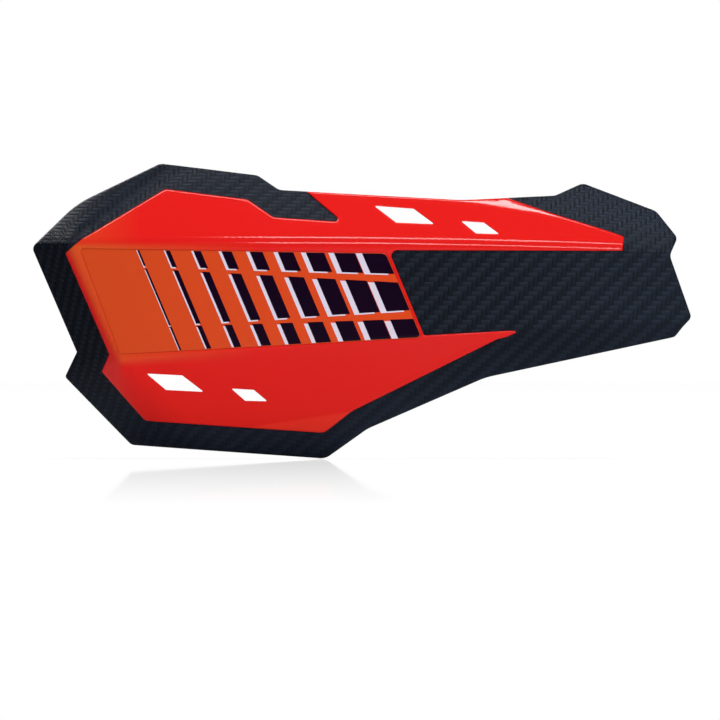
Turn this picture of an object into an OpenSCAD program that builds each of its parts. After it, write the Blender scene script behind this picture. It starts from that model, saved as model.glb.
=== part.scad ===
// Motorcycle hand guard: a two-material shield on a moulded arm with a handlebar clamp.
// X runs along the handlebar towards the middle of the machine, Y towards the rider, Z up.
// The origin is on the handlebar's centreline, at the middle of the clamp.

/* [Shield] */
// Length of the shield along the handlebar
shield_l = 250.2; // [230.2:1:270.2]
// Height of the shield
shield_h = 112.4; // [104.4:0.5:120.4]
// How far the shield's foremost line lies ahead of the handlebar's centre
reach = 84; // [76:1:96]
// Where the clamp's middle lies along the handlebar, from the middle of the shield
clamp_x = 78; // [72:1:84]
// Height of the handlebar above the shield's datum
clamp_z = 10; // [8:0.5:12]

/* [Walls] */
// Thickness of the glossy cover
cover_t = 1.6; // [1.4:0.1:2]
// How far the textured face lies below the cover's face
face_step = 0.6; // [0.3:0.1:0.9]
// Thickness of cover and frame together
wall_t = 3.6; // [3.4:0.1:4.2]
// Width of the bead along the frame's edge
bead_w = 2.6; // [1.8:0.1:4]
// How far the bead stands behind the wall
bead_t = 1.2; // [0.6:0.1:1.6]

/* [Form] */
// Lean of the narrow bevel along the upper ridge
bevel_lean = 22; // [16:1:28]
// Lean of the upper face
upper_lean = 42; // [36:1:46]
// Lean of the upper face's inner corner
corner_lean = 50; // [48:1:54]
// Lean of the lower face
lower_lean = 30; // [24:1:34]
// Lean of the lower face's bottom facet
bottom_lean = 38; // [37:1:42]
// Turn of the outer end
end_lean = 62; // [54:1:66]
// Width of the bevel along the upper ridge
bevel_w = 2.4; // [1.8:0.1:3]
// Radius of the front face's bow along the handlebar
bow_r = 900; // [700:10:1400]

/* [Vents] */
// How far the frame's vents stand back from the edges of the cover's vents
vent_land = 0.4; // [0.2:0.1:0.8]
// Radius of the vents' corners
vent_r = 0.4; // [0.3:0.1:0.8]

/* [Sticker] */
// Depth of the cover's recess for the sticker
recess_d = 0.5; // [0.4:0.05:0.6]
// Thickness of the sticker
sticker_t = 0.2; // [0.15:0.05:0.25]
// Thickness of the print
print_t = 0.08; // [0.05:0.01:0.1]
// Number of slanted bars in each row of the print
bars = 9; // [7:1:9]
// Distance from one bar to the next
bar_pitch = 10.35; // [10.3:0.05:10.6]
// Width of the first bar
first_bar = 1.1; // [0.8:0.1:1.6]
// Width of the last bar
last_bar = 11.4; // [9.4:0.1:11.4]

/* [Bosses] */
// Distance between the shield's two screws
boss_pitch = 40; // [37:1:43]
// Height of the shield's screws above the shield's datum
boss_z = 6; // [5:0.5:7]
// Diameter of each boss
boss_d = 15; // [14:0.5:17]
// How far the bosses' faces lie behind the shield's foremost line
boss_face = 15; // [14:0.5:18]
// Thickness of the webs that brace the bosses
web_t = 2; // [1.5:0.1:3]
// Outside diameter of the threaded inserts
insert_d = 8.4; // [8:0.1:9]
// Length of the threaded inserts
insert_l = 8.5; // [7:0.5:8.5]

/* [Cover screws] */
// Diameter of the cover's screw bosses
peg_d = 6; // [5.4:0.2:6.4]
// Outside diameter of the frame's towers around them
tower_d = 10; // [9.4:0.2:11]
// How far the towers stand behind the wall
tower_h = 5; // [5:0.2:6]
// Diameter of the cover's screws
small_screw_d = 3; // [2.6:0.1:3.4]
// Length of the cover's screws
small_screw_l = 6; // [5:0.2:6.4]

/* [Arm] */
// Height of the arm's beam
arm_h = 16; // [13:0.5:17]
// Thickness of the arm's foot
foot_t = 6; // [5:0.5:8]
// Height of the arm's foot
foot_h = 22; // [20:0.5:25]
// Thickness of the beam's outer walls
arm_wall = 3.2; // [2.6:0.1:4]
// Thickness of the web in the beam's middle
arm_web = 4; // [3:0.5:6]

/* [Clamp] */
// Diameter of the handlebar
bar_d = 22.2; // [22:0.1:22.4]
// Outside diameter of the bar sleeve
sleeve_d = 28.4; // [27.6:0.1:28.6]
// Width of the slit in the bar sleeve
slit_w = 3; // [2:0.2:4]
// Width of the clamp along the handlebar
clamp_w = 20; // [18:1:23]
// Gap between the clamp's halves
clamp_gap = 1.6; // [1:0.1:2.4]
// Wall of the clamp around the sleeve
clamp_wall = 5.5; // [4.5:0.5:6.5]
// Distance of each clamp bolt from the handlebar's centre
bolt_z = 18.8; // [18.6:0.1:19.6]
// Thickness of the clamp's ears
ear_t = 10; // [9:0.5:12]
// Thickness of the sleeve's flanges
flange_t = 1.2; // [0.8:0.1:2]

/* [Fasteners] */
// Diameter of the screws and bolts
screw_d = 6; // [5.6:0.1:6]
// Length of the shield's screws
screw_l = 15; // [13:0.5:15]
// Play around the screws in their holes, on the diameter
hole_play = 0.6; // [0.4:0.1:0.8]
// Wall of the steel bushes in the foot
bush_wall = 1.6; // [1.2:0.1:2]
// Thickness of the washers
washer_t = 1.2; // [0.8:0.1:1.6]
// Width of the washers' rings
washer_rim = 3; // [2.6:0.1:3.2]
// Width across the flats of the nuts
nut_af = 10; // [9.6:0.1:10]
// Height of the nuts
nut_h = 5; // [4.5:0.1:5.2]

/* [Hidden] */
$fn = 64;
fit = 0.05;
past = 1;
far = 90;
glossy_red = [0.86, 0.1, 0.08];
sticker_orange = [0.85, 0.27, 0.1];
frame_black = [0.1, 0.11, 0.13];
print_plum = [0.08, 0.02, 0.1];
print_white = [0.9, 0.87, 0.92];
moulded_grey = [0.16, 0.17, 0.18];
steel = [0.68, 0.69, 0.71];
brass_yellow = [0.78, 0.62, 0.3];
sleeve_black = [0.07, 0.07, 0.08];

// The outlines below are drawn for a shield of this size and follow shield_l and shield_h.
drawn_l = 250.2;
drawn_h = 112.4;
kx = shield_l / drawn_l;
kz = shield_h / drawn_h;

// Corners [x, z, radius] of the shield's outline, clockwise from the outer end's upper corner
frame_corners = [
    [-125.2, 24.3, 2.5], [-109, 40.6, 38], [-77, 56, 4], [-39.9, 51.4, 5], [-31.7, 45.8, 5],
    [37.6, 42, 60], [73.2, 43.7, 5], [83.8, 48.5, 4], [111.7, 37.8, 5], [119.7, 27.6, 2.5],
    [116.7, 20.9, 4], [125, -2.7, 2.5], [121.8, -6.1, 3], [118.6, -10.1, 2.5], [46.7, -25.5, 30],
    [1.9, -45, 14], [-14.1, -56.4, 6], [-87.4, -51.2, 3.5], [-112.9, -25.3, 2.5], [-108.1, -15.8, 1]
];
// Corners of the cover, clockwise, run past the shield's upper edge where the cover reaches it
cover_corners = [
    [-112.4, 21.8, 0.6], [-106.6, 27.1, 2], [-75.1, 46.2, 3], [-43.7, 42.2, 4], [-33.9, 35.4, 4],
    [-7.6, 33.6, 2], [-20.9, 44.8, 0], [-26, 50, 0], [50, 50, 0], [55, 42.7, 0], [71.4, 37.1, 20],
    [94.5, 29.8, 10], [99.4, 28, 1.2], [98.7, 22.6, 0.5], [9.85, 22.8, 2.2], [23.35, -9.5, 1],
    [55.5, -7.7, 1], [59.4, -8, 0.4], [54.5, -10.2, 1], [51.3, -10.9, 2], [-4, -38.3, 14],
    [-14.6, -46.6, 5], [-82.8, -42, 3.5], [-98.4, -23.3, 1.5], [-95.7, -16.7, 0.6]
];
// Corners of the sticker, clockwise
sticker_corners = [[-107.5, 23.5, 1], [9.05, 21.85, 3], [22.75, -10.5, 1.6], [-92.2, -16.7, 1]];
// Corners [x, z] of the four vents
vents = [
    [[5.1, 39.7], [20, 38.6], [27.8, 32.8], [13.4, 33.4]],
    [[37.9, 33.9], [46.6, 33.3], [52.4, 29], [43.6, 29.3]],
    [[-81.6, -24], [-68.1, -24.7], [-60, -30.9], [-74.2, -30.2]],
    [[-49.3, -29.7], [-40.8, -30.2], [-35.7, -34.5], [-44.1, -34.3]]
];
// Places [x, z] of the cover's screws
cover_fixings = [[-86, 7], [-64, 32], [64, 30], [22, -15.5], [-24, -26]];

// The upper ridge runs level and then droops on a wide arc; the lower ridge rises on another.
drawn_upper_ridge = 25.4;
upper_ridge_z = drawn_upper_ridge * kz;
drawn_droop = -20;
droop_from = drawn_droop * kx;
droop_r = 3100;
drawn_lower_ridge = -11.9;
lower_ridge_z = drawn_lower_ridge * kz;
lower_ridge_rise = 0.073;
lower_ridge_r = 4650;
// Creases of the inner corner above and of the bottom facet: height at x = 0, and slope
corner_crease = [47.6 * kz, -0.158];
bottom_crease = [-37.3 * kz, 0.155];
// The outer end's fold: its place at z = 0, and its slants beside, above and below the front face
fold_x = -101 * kx;
fold_slant = -0.44;
fold_slant_above = 1;
fold_slant_below = -0.35;
fold_bend_z = 1.7 * lower_ridge_z;
fold_soft = 1.4;
fold_spread = 0.8;
bow_x = 10;
ridge_soft = 0.5;
lower_soft = 0.9;
crease_soft = 1.2;
crease_clear = 3.2;

// Distances that carry the surface past the outline on every side
past_left = 30;
past_right = 133 * kx;
past_up = 26;
past_down = 26;

function upper_ridge(x) = upper_ridge_z - pow(max(0, x - droop_from), 2) / (2 * droop_r);
function lower_ridge(x) = lower_ridge_z + lower_ridge_rise * x - x * x / (2 * lower_ridge_r);
function crease(line, x) = line[0] + line[1] * x;
function fold_at(z) =
    z > upper_ridge_z ? fold_at(upper_ridge_z) + fold_slant_above * (z - upper_ridge_z)
    : z < fold_bend_z ? fold_at(fold_bend_z) + fold_slant_below * (z - fold_bend_z)
    : fold_x + fold_slant * z;
function fold_width(z) = fold_soft + fold_spread * max(0, z - upper_ridge_z, fold_bend_z - z);

// Depth behind a fold at distance d past it, rounded over the width w on each side
function ramp(d, w) = d <= -w ? 0 : d >= w ? d : (d + w) * (d + w) / (4 * w);
// How far a fold moves for each unit of depth below the face, where the lean goes from a to b
function fold_shift(a, b) = sin((a + b) / 2) / cos((b - a) / 2);
function lean_step(a, b) = tan(b) - tan(a);

// The skin at depth t below the cover's face: its y at the point x, z
function skin(x, z, t) =
    t + pow(x - fold_slant * z - bow_x, 2) / (2 * bow_r)
    + lean_step(0, bevel_lean) * ramp(z - upper_ridge(x) + t * fold_shift(0, bevel_lean), ridge_soft)
    + lean_step(bevel_lean, upper_lean)
        * ramp(z - upper_ridge(x) - bevel_w + t * fold_shift(bevel_lean, upper_lean), ridge_soft)
    + lean_step(upper_lean, corner_lean)
        * ramp(z - crease(corner_crease, x) + t * fold_shift(upper_lean, corner_lean), crease_soft)
    + lean_step(0, lower_lean) * ramp(lower_ridge(x) - z + t * fold_shift(0, lower_lean), lower_soft)
    + lean_step(lower_lean, bottom_lean)
        * ramp(crease(bottom_crease, x) - z + t * fold_shift(lower_lean, bottom_lean), crease_soft)
    + lean_step(0, end_lean) * ramp(fold_at(z) - x + t * fold_shift(0, end_lean), fold_width(z));

// Heights of the surface's rows at x and depth t: rows lie on every ridge and crease
function between(a, b, n) = [for (i = [1:n]) a + (b - a) * i / (n + 1)];
function rows(x, t) =
    let (
        lower = lower_ridge(x) + t * fold_shift(0, lower_lean),
        bottom = min(crease(bottom_crease, x) + t * fold_shift(lower_lean, bottom_lean), lower - crease_clear),
        upper = upper_ridge(x) - t * fold_shift(0, bevel_lean),
        bevel = max(
            upper_ridge(x) + bevel_w - t * fold_shift(bevel_lean, upper_lean), upper + 3 * ridge_soft
        ),
        corner = max(crease(corner_crease, x) - t * fold_shift(upper_lean, corner_lean), bevel + crease_clear)
    )
    [
        bottom - past_down, bottom - crease_soft, bottom, bottom + crease_soft,
        lower - lower_soft, lower - lower_soft / 3, lower + lower_soft / 3, lower + lower_soft,
        each between(lower + lower_soft, upper - ridge_soft, 2),
        upper - ridge_soft, upper + ridge_soft, bevel - ridge_soft, bevel + ridge_soft,
        corner - crease_soft, corner, corner + crease_soft, corner + past_up
    ];
// Places of the surface's columns at height z and depth t: dense at the outer end's fold
bend_steps = [-1, -0.6, -0.2, 0.2, 0.6, 1];
span_steps = 12;
function columns(z, t) =
    let (f = fold_at(z) + t * fold_shift(0, end_lean), w = fold_width(z))
    [
        f - w - past_left, each [for (s = bend_steps) f + s * w],
        each [for (i = [1:span_steps]) f + w + (past_right - f - w) * i / span_steps]
    ];

// The grid of points on the skin at depth t, row by row
function grid(t) =
    let (n = len(columns(0, t)), m = len(rows(0, t)))
    [
        for (j = [0:m - 1])
        let (start = columns(rows(0, t)[j], t))
        [
            for (i = [0:n - 1])
            let (z = rows(start[i], t)[j], x = columns(z, t)[i])
            [x, skin(x, z, t), z]
        ]
    ];
function shifted(g, dy) = [for (row = g) [for (p = row) [p.x, p.y + dy, p.z]]];

// The closed solid between two grids, of which the first lies in front
module between_grids(front, back) {
    m = len(front);
    n = len(front[0]);
    rear = m * n;
    function at(j, i) = j * n + i;
    border = concat(
        [for (i = [0:n - 2]) at(0, i)], [for (j = [0:m - 2]) at(j, n - 1)],
        [for (i = [n - 1:-1:1]) at(m - 1, i)], [for (j = [m - 1:-1:1]) at(j, 0)]
    );
    polyhedron(
        points = concat([for (row = front) each row], [for (row = back) each row]),
        faces = concat(
            [for (j = [0:m - 2], i = [0:n - 2]) each [
                [at(j, i), at(j + 1, i), at(j + 1, i + 1)],
                [at(j, i), at(j + 1, i + 1), at(j, i + 1)],
                [rear + at(j, i), rear + at(j + 1, i + 1), rear + at(j + 1, i)],
                [rear + at(j, i), rear + at(j, i + 1), rear + at(j + 1, i + 1)]
            ]],
            [for (k = [0:len(border) - 1])
                let (p = border[k], q = border[(k + 1) % len(border)]) each [
                [p, q, rear + q],
                [p, rear + q, rear + p]
            ]]
        )
    );
}
module slab(a, b) between_grids(grid(a), grid(b));
module before_skin(t) between_grids(shifted(grid(t), -far), grid(t));
module behind_skin(t) between_grids(grid(t), shifted(grid(t), far));

function unit(v) = v / norm(v);
function turn(a) = a > 180 ? a - 360 : a < -180 ? a + 360 : a;
arc_step = 18;
// The points of the arc that rounds corner b, between its neighbours a and c
function corner_arc(a, b, c, r) =
    let (
        u = unit(a - b), v = unit(c - b), half = acos(u * v) / 2,
        centre = b + unit(u + v) * r / sin(half),
        from = b + u * r / tan(half) - centre, to = b + v * r / tan(half) - centre,
        start = atan2(from.y, from.x), sweep = turn(atan2(to.y, to.x) - start),
        steps = max(1, ceil(abs(sweep) / arc_step))
    )
    r == 0 ? [b]
    : [for (i = [0:steps]) centre + r * [cos(start + sweep * i / steps), sin(start + sweep * i / steps)]];
// A closed outline from corners [x, z, radius]
function rounded(corners) =
    let (n = len(corners), p = [for (c = corners) [c[0], c[1]]])
    [for (i = [0:n - 1]) each corner_arc(p[(i + n - 1) % n], p[i], p[(i + 1) % n], corners[i][2])];
function to_size(corners) = [for (c = corners) [c[0] * kx, c[1] * kz, c[2]]];

module frame_outline() polygon(rounded(to_size(frame_corners)));
module cover_outline() intersection() {
    polygon(rounded(to_size(cover_corners)));
    frame_outline();
}
module sticker_outline() polygon(rounded(to_size(sticker_corners)));
module vent_outlines() for (v = vents) polygon(rounded(to_size([for (c = v) [c[0], c[1], vent_r]])));

// Extrudes an outline of the XZ plane through the whole shield
module through() translate([0, far, 0]) rotate([90, 0, 0]) linear_extrude(2 * far) children();
// Carries the shield from its own datum to its place ahead of the handlebar
module on_bar() translate([-clamp_x, -reach, -clamp_z]) children();
// Turns +Z towards the rider at the point x, y, z
module facing_back(x, y, z) translate([x, y, z]) rotate([-90, 0, 0]) children();
module ring(outer, inner, h) difference() {
    cylinder(d = outer, h = h);
    translate([0, 0, -past]) cylinder(d = inner, h = h + 2 * past);
}

// The two bosses lie level, on both sides of boss_mid_x.
boss_mid_x = 19;
outer_boss_x = boss_mid_x - boss_pitch / 2;
inner_boss_x = boss_mid_x + boss_pitch / 2;
web_reach = 14;
web_step = 3;
root_t = (cover_t + wall_t) / 2;

module boss_webs(x) {
    translate([x - web_t / 2, 0, boss_z - web_reach]) cube([web_t, boss_face - web_step, 2 * web_reach]);
    translate([x - web_reach, 0, boss_z - web_t / 2]) cube([2 * web_reach, boss_face - web_step, web_t]);
}
module boss(x) {
    facing_back(x, 0, boss_z) cylinder(d = boss_d, h = boss_face);
    boss_webs(x);
}

// Each cover screw's place, with the height of its tower's rear face
function fixing_places() = [
    for (p = cover_fixings) let (x = p[0] * kx, z = p[1] * kz) [x, skin(x, z, wall_t) + tower_h, z]
];
peg_play = 0.2;
peg_short = 0.3;

// Black textured frame: the shield's full outline, with the cover's seat, and bosses behind
module shield_frame() color(frame_black) on_bar() difference() {
    union() {
        difference() {
            intersection() {
                slab(face_step, wall_t);
                through() frame_outline();
            }
            intersection() {
                before_skin(cover_t + fit);
                through() offset(delta = fit) cover_outline();
            }
        }
        intersection() {
            slab(wall_t, wall_t + bead_t);
            through() difference() {
                frame_outline();
                offset(delta = -bead_w) frame_outline();
            }
        }
        intersection() {
            behind_skin(root_t);
            union() {
                boss(outer_boss_x);
                boss(inner_boss_x);
                for (p = fixing_places()) facing_back(p.x, 0, p.z) cylinder(d = tower_d, h = p.y);
            }
        }
    }
    through() offset(delta = vent_land) vent_outlines();
    for (x = [outer_boss_x, inner_boss_x])
        facing_back(x, boss_face - insert_l - fit, boss_z) cylinder(d = insert_d + 2 * fit, h = far);
    for (p = fixing_places()) facing_back(p.x, 0, p.z) cylinder(d = peg_d + 2 * peg_play, h = far);
}

// Glossy cover: let into the frame, with the sticker's recess, and a boss behind for each screw
module cover() color(glossy_red) on_bar() difference() {
    union() {
        difference() {
            intersection() {
                slab(0, cover_t);
                through() cover_outline();
            }
            intersection() {
                before_skin(recess_d);
                through() offset(delta = fit) sticker_outline();
            }
        }
        intersection() {
            behind_skin((recess_d + cover_t) / 2);
            for (p = fixing_places()) facing_back(p.x, 0, p.z) cylinder(d = peg_d, h = p.y - peg_short);
        }
    }
    through() vent_outlines();
    for (p = fixing_places())
        facing_back(p.x, p.y - small_screw_l - fit, p.z) cylinder(d = small_screw_d + 2 * fit, h = far);
}

sticker_face = recess_d - sticker_t;
module sticker() color(sticker_orange) on_bar() intersection() {
    slab(sticker_face, recess_d);
    through() sticker_outline();
}

// The print is three rows of slanted bars, which widen from the outer end to the inner one. Each is
// dark, over a pale one that stands out at its outer side and below it like a shadow.
// Heights of each row's edges: upper at the first and the last bar, then lower at both
row_edges = [[26, 24, 16.8, 14.2], [15.9, 11.2, -5.8, -0.6], [-6.2, -3.6, -18, -14]];
pale_least = 0.4;
pale_share = 0.175;
pale_drop = 0.5;
print_margin = 0.35;
print_corners = to_size(sticker_corners);
bar_slant = (print_corners[2][0] - print_corners[1][0]) / (print_corners[2][1] - print_corners[1][1]);
function bar_width(i) = first_bar + (last_bar - first_bar) * i / (bars - 1);
function pale_width(i) = pale_least + pale_share * bar_width(i);
// The place of bar i along the slant's foot at z = 0: the last bar ends beside the sticker's edge
last_end = print_corners[2][0] - bar_slant * print_corners[2][1] - print_margin;
function bar_at(i) = last_end - last_bar - (bars - 1 - i) * bar_pitch;
// Height at the foot place u on the line that goes from a at the first bar to b at the last
function edge_z(a, b, u) = (a + (b - a) * (u - bar_at(0)) / (bar_at(bars - 1) - bar_at(0))) * kz;
// Points of the slant through the foot place u, a given drop below a row's upper or lower edge
function on_upper(r, u, drop) = let (z = edge_z(r[0], r[1], u) - drop) [u + bar_slant * z, z];
function on_lower(r, u, drop) = let (z = edge_z(r[2], r[3], u) - drop) [u + bar_slant * z, z];

module dark_cells() for (i = [0:bars - 1], r = row_edges) {
    from = bar_at(i) + pale_width(i);
    to = bar_at(i) + bar_width(i);
    polygon([on_upper(r, from, 0), on_upper(r, to, 0), on_lower(r, to, 0), on_lower(r, from, 0)]);
}
module pale_cells() for (i = [0:bars - 1], r = row_edges) {
    from = bar_at(i);
    side = from + pale_width(i);
    to = from + bar_width(i) - pale_width(i);
    polygon([
        on_upper(r, from, pale_drop), on_upper(r, side, pale_drop), on_lower(r, side, 0),
        on_lower(r, to, 0), on_lower(r, to, pale_drop), on_lower(r, from, pale_drop)
    ]);
}
module printed() intersection() {
    slab(sticker_face - print_t, sticker_face);
    through() intersection() {
        offset(delta = -print_margin) sticker_outline();
        children();
    }
}
module print_dark() color(print_plum) on_bar() printed() dark_cells();
module print_pale() color(print_white) on_bar() printed() pale_cells();

small_washer_t = 0.8;
small_head_h = 2;
module cover_washers() color(steel) on_bar() for (p = fixing_places())
    facing_back(p.x, p.y, p.z) ring(tower_d - 1, small_screw_d + 2 * peg_play, small_washer_t);
module cover_screws() color(steel) on_bar() for (p = fixing_places()) {
    facing_back(p.x, p.y - small_screw_l, p.z)
        cylinder(d = small_screw_d, h = small_screw_l + small_washer_t + small_head_h / 4);
    facing_back(p.x, p.y + small_washer_t, p.z) difference() {
        cylinder(d1 = 2 * small_screw_d, d2 = 1.6 * small_screw_d, h = small_head_h);
        translate([0, 0, small_head_h / 2]) cylinder(d = small_screw_d / 1.5, h = small_head_h, $fn = 6);
    }
}

// Brass insert with a groove around its middle
groove_d = 0.8;
module insert(x) color(brass_yellow) on_bar() facing_back(x, boss_face - insert_l, boss_z) difference() {
    rotate_extrude() polygon([
        [0, 0], [insert_d / 2, 0], [insert_d / 2, insert_l * 0.4], [(insert_d - groove_d) / 2, insert_l * 0.45],
        [(insert_d - groove_d) / 2, insert_l * 0.55], [insert_d / 2, insert_l * 0.6], [insert_d / 2, insert_l],
        [0, insert_l]
    ]);
    translate([0, 0, -past]) cylinder(d = screw_d + 2 * fit, h = insert_l + 2 * past);
}

bush_d = screw_d + hole_play + 2 * bush_wall;
washer_d = screw_d + hole_play + 2 * washer_rim;
head_d = 1.7 * screw_d;
head_h = screw_d;
button_h = 0.6 * screw_d;
socket_d = 0.95 * screw_d;

module bush(x) color(steel) on_bar() facing_back(x, boss_face, boss_z)
    ring(bush_d, screw_d + hole_play, foot_t);
module shield_washer(x) color(steel) on_bar() facing_back(x, boss_face + foot_t, boss_z)
    ring(washer_d, screw_d + hole_play, washer_t);
// Button-headed screw with a hexagonal socket
module shield_screw(x) color(steel) on_bar() facing_back(x, boss_face + foot_t + washer_t, boss_z) {
    translate([0, 0, -screw_l]) cylinder(d = screw_d, h = screw_l);
    difference() {
        rotate_extrude() polygon([
            [0, 0], [head_d / 2, 0], [head_d / 2, button_h * 0.3], [head_d * 0.42, button_h * 0.75],
            [head_d * 0.28, button_h], [0, button_h]
        ]);
        translate([0, 0, button_h * 0.4]) cylinder(d = socket_d * 0.75, h = button_h, $fn = 6);
    }
}

// The clamp's measures, from the handlebar's centre
clamp_r = sleeve_d / 2 + clamp_wall;
ear_rim = 0.6;
ear_reach = bolt_z + washer_d / 2 + ear_rim;
split = clamp_gap / 2;
ear_r = 3;
split_r = 0.5;

// Half of the clamp, on the side that side names: -1 in front of the handlebar, 1 behind it
module clamp_half(side) {
    intersection() {
        rotate([0, 90, 0]) cylinder(r = clamp_r, h = clamp_w, center = true);
        translate([-far, side > 0 ? split : -far - split, -far]) cube([2 * far, far, 2 * far]);
    }
    rotate([90, 0, 90]) translate([0, 0, -clamp_w / 2]) linear_extrude(clamp_w) polygon(rounded([
        [side * split, ear_reach, split_r], [side * ear_t, ear_reach, ear_r],
        [side * ear_t, -ear_reach, ear_r], [side * split, -ear_reach, split_r]
    ]));
}
module clamp_bore() rotate([0, 90, 0]) cylinder(d = sleeve_d + 2 * fit, h = 2 * far, center = true);
module bolt_holes() for (z = [-bolt_z, bolt_z])
    facing_back(0, -far, z) cylinder(d = screw_d + hole_play, h = 2 * far);

// Plan of the beam: its walls run straight from the foot to the clamp
beam_z = (boss_z - clamp_z) / 2;
foot_back = boss_face + foot_t - reach;
foot_mid = foot_back - foot_t / 2;
screw_clear = 1.2;
beam_left_foot = inner_boss_x - clamp_x + washer_d / 2 + screw_clear;
beam_foot_w = 15;
foot_end = beam_left_foot + beam_foot_w;
beam_bite = 4;
beam_back = beam_bite - clamp_r;
// The beam ends inside the clamp's width, clear of the sleeve's flanges
beam_inset = 1;
beam_end_w = clamp_w - 2 * beam_inset;
function wall_x(side, s) =
    side < 0 ? beam_left_foot + (-beam_end_w / 2 - beam_left_foot) * s
    : foot_end + (beam_end_w / 2 - foot_end) * s;
function wall_y(s) = foot_mid + (beam_back - foot_mid) * s;
function beam_point(side, s, inset) = [wall_x(side, s) - side * inset, wall_y(s)];
pocket_ends = [[0.12, 0.4], [0.47, 0.76]];
pocket_r = 1.2;

module beam() translate([0, 0, beam_z]) difference() {
    translate([0, 0, -arm_h / 2]) linear_extrude(arm_h) polygon([
        beam_point(-1, 0, 0), beam_point(1, 0, 0), beam_point(1, 1, 0), beam_point(-1, 1, 0)
    ]);
    for (side = [0, 1], e = pocket_ends) mirror([0, 0, side]) translate([0, 0, arm_web / 2])
        linear_extrude(arm_h) polygon(rounded([
            [each beam_point(-1, e[0], arm_wall), pocket_r], [each beam_point(1, e[0], arm_wall), pocket_r],
            [each beam_point(1, e[1], arm_wall), pocket_r], [each beam_point(-1, e[1], arm_wall), pocket_r]
        ]));
}
foot_r = 4;
foot_start = outer_boss_x - clamp_x - bush_d;
module foot() translate([0, foot_back, boss_z - clamp_z]) rotate([90, 0, 0]) linear_extrude(foot_t)
    polygon(rounded([
        [foot_start, foot_h / 2, foot_r], [foot_end, foot_h / 2, foot_r],
        [foot_end, -foot_h / 2, foot_r], [foot_start, -foot_h / 2, foot_r]
    ]));

nut_play = 0.15;
nut_corners_d = nut_af / cos(30);
// Moulded arm: the foot that carries the shield, the beam, and the clamp's front half
module arm() color(moulded_grey) difference() {
    union() {
        foot();
        beam();
        clamp_half(-1);
    }
    clamp_bore();
    bolt_holes();
    for (z = [-bolt_z, bolt_z]) {
        facing_back(0, -ear_t, z) cylinder(d = nut_corners_d + 2 * nut_play, h = nut_h, $fn = 6);
        facing_back(0, -clamp_r - past, z) cylinder(d = washer_d + 2 * nut_play, h = clamp_r + past - ear_t);
    }
    for (x = [outer_boss_x, inner_boss_x])
        translate([-clamp_x, -reach, -clamp_z]) facing_back(x, 0, boss_z)
            cylinder(d = bush_d + 2 * fit, h = boss_face + foot_t + past);
}
module clamp_cap() color(moulded_grey) difference() {
    clamp_half(1);
    clamp_bore();
    bolt_holes();
    for (z = [-bolt_z, bolt_z]) facing_back(0, ear_t, z) cylinder(d = washer_d + 2 * nut_play, h = far);
}

bolt_over = 1;
module clamp_bolt(z) color(steel) {
    facing_back(0, -ear_t - bolt_over, z) cylinder(d = screw_d, h = 2 * ear_t + bolt_over + washer_t);
    facing_back(0, ear_t + washer_t, z) difference() {
        cylinder(d = head_d, h = head_h);
        translate([0, 0, head_h / 2]) cylinder(d = socket_d, h = head_h, $fn = 6);
    }
}
module clamp_washer(z) color(steel) facing_back(0, ear_t, z) ring(washer_d, screw_d + hole_play, washer_t);
module clamp_nut(z) color(steel) facing_back(0, -ear_t, z) difference() {
    cylinder(d = nut_corners_d, h = nut_h, $fn = 6);
    translate([0, 0, -past]) cylinder(d = screw_d + 2 * fit, h = nut_h + 2 * past);
}

// Sleeve between the handlebar and the clamp: flanged, and slit above so that it closes on the bar
flange_w = 2.4;
sleeve_l = clamp_w + 2 * fit + 2 * flange_t;
module bar_sleeve() color(sleeve_black) difference() {
    rotate([0, 90, 0]) {
        cylinder(d = sleeve_d, h = sleeve_l, center = true);
        for (side = [-1, 1]) translate([0, 0, side * (sleeve_l - flange_t) / 2])
            cylinder(d = sleeve_d + 2 * flange_w, h = flange_t, center = true);
    }
    rotate([0, 90, 0]) cylinder(d = bar_d, h = 2 * far, center = true);
    translate([-far, -slit_w / 2, 0]) cube([2 * far, slit_w, far]);
}

shield_frame();
cover();
sticker();
print_dark();
print_pale();
cover_screws();
cover_washers();
insert(outer_boss_x);  // outer_insert
insert(inner_boss_x);  // inner_insert
arm();
bush(outer_boss_x);  // outer_bush
bush(inner_boss_x);  // inner_bush
shield_washer(outer_boss_x);  // outer_washer
shield_washer(inner_boss_x);  // inner_washer
shield_screw(outer_boss_x);  // outer_screw
shield_screw(inner_boss_x);  // inner_screw
clamp_cap();
clamp_bolt(bolt_z);  // upper_bolt
clamp_bolt(-bolt_z);  // lower_bolt
clamp_washer(bolt_z);  // upper_washer
clamp_washer(-bolt_z);  // lower_washer
clamp_nut(bolt_z);  // upper_nut
clamp_nut(-bolt_z);  // lower_nut
bar_sleeve();
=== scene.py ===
# %% [markdown]
# # A motorcycle hand guard
# The object is a hand guard: a shield that keeps wind and branches off the rider's hand, with the arm and
# clamp that hold it on the handlebar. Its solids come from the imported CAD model, which is the frame that
# every piece here is placed in. The shield's visible pieces are modelled again, with finer surfaces and
# rounded edges, and the small hardware keeps its CAD form and gets softer edges and real finishes.
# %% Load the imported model
import math
from collections import namedtuple

import bmesh
import bpy
import numpy as np
from mathutils import Matrix, Vector, kdtree
from mathutils.geometry import delaunay_2d_cdt


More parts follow.
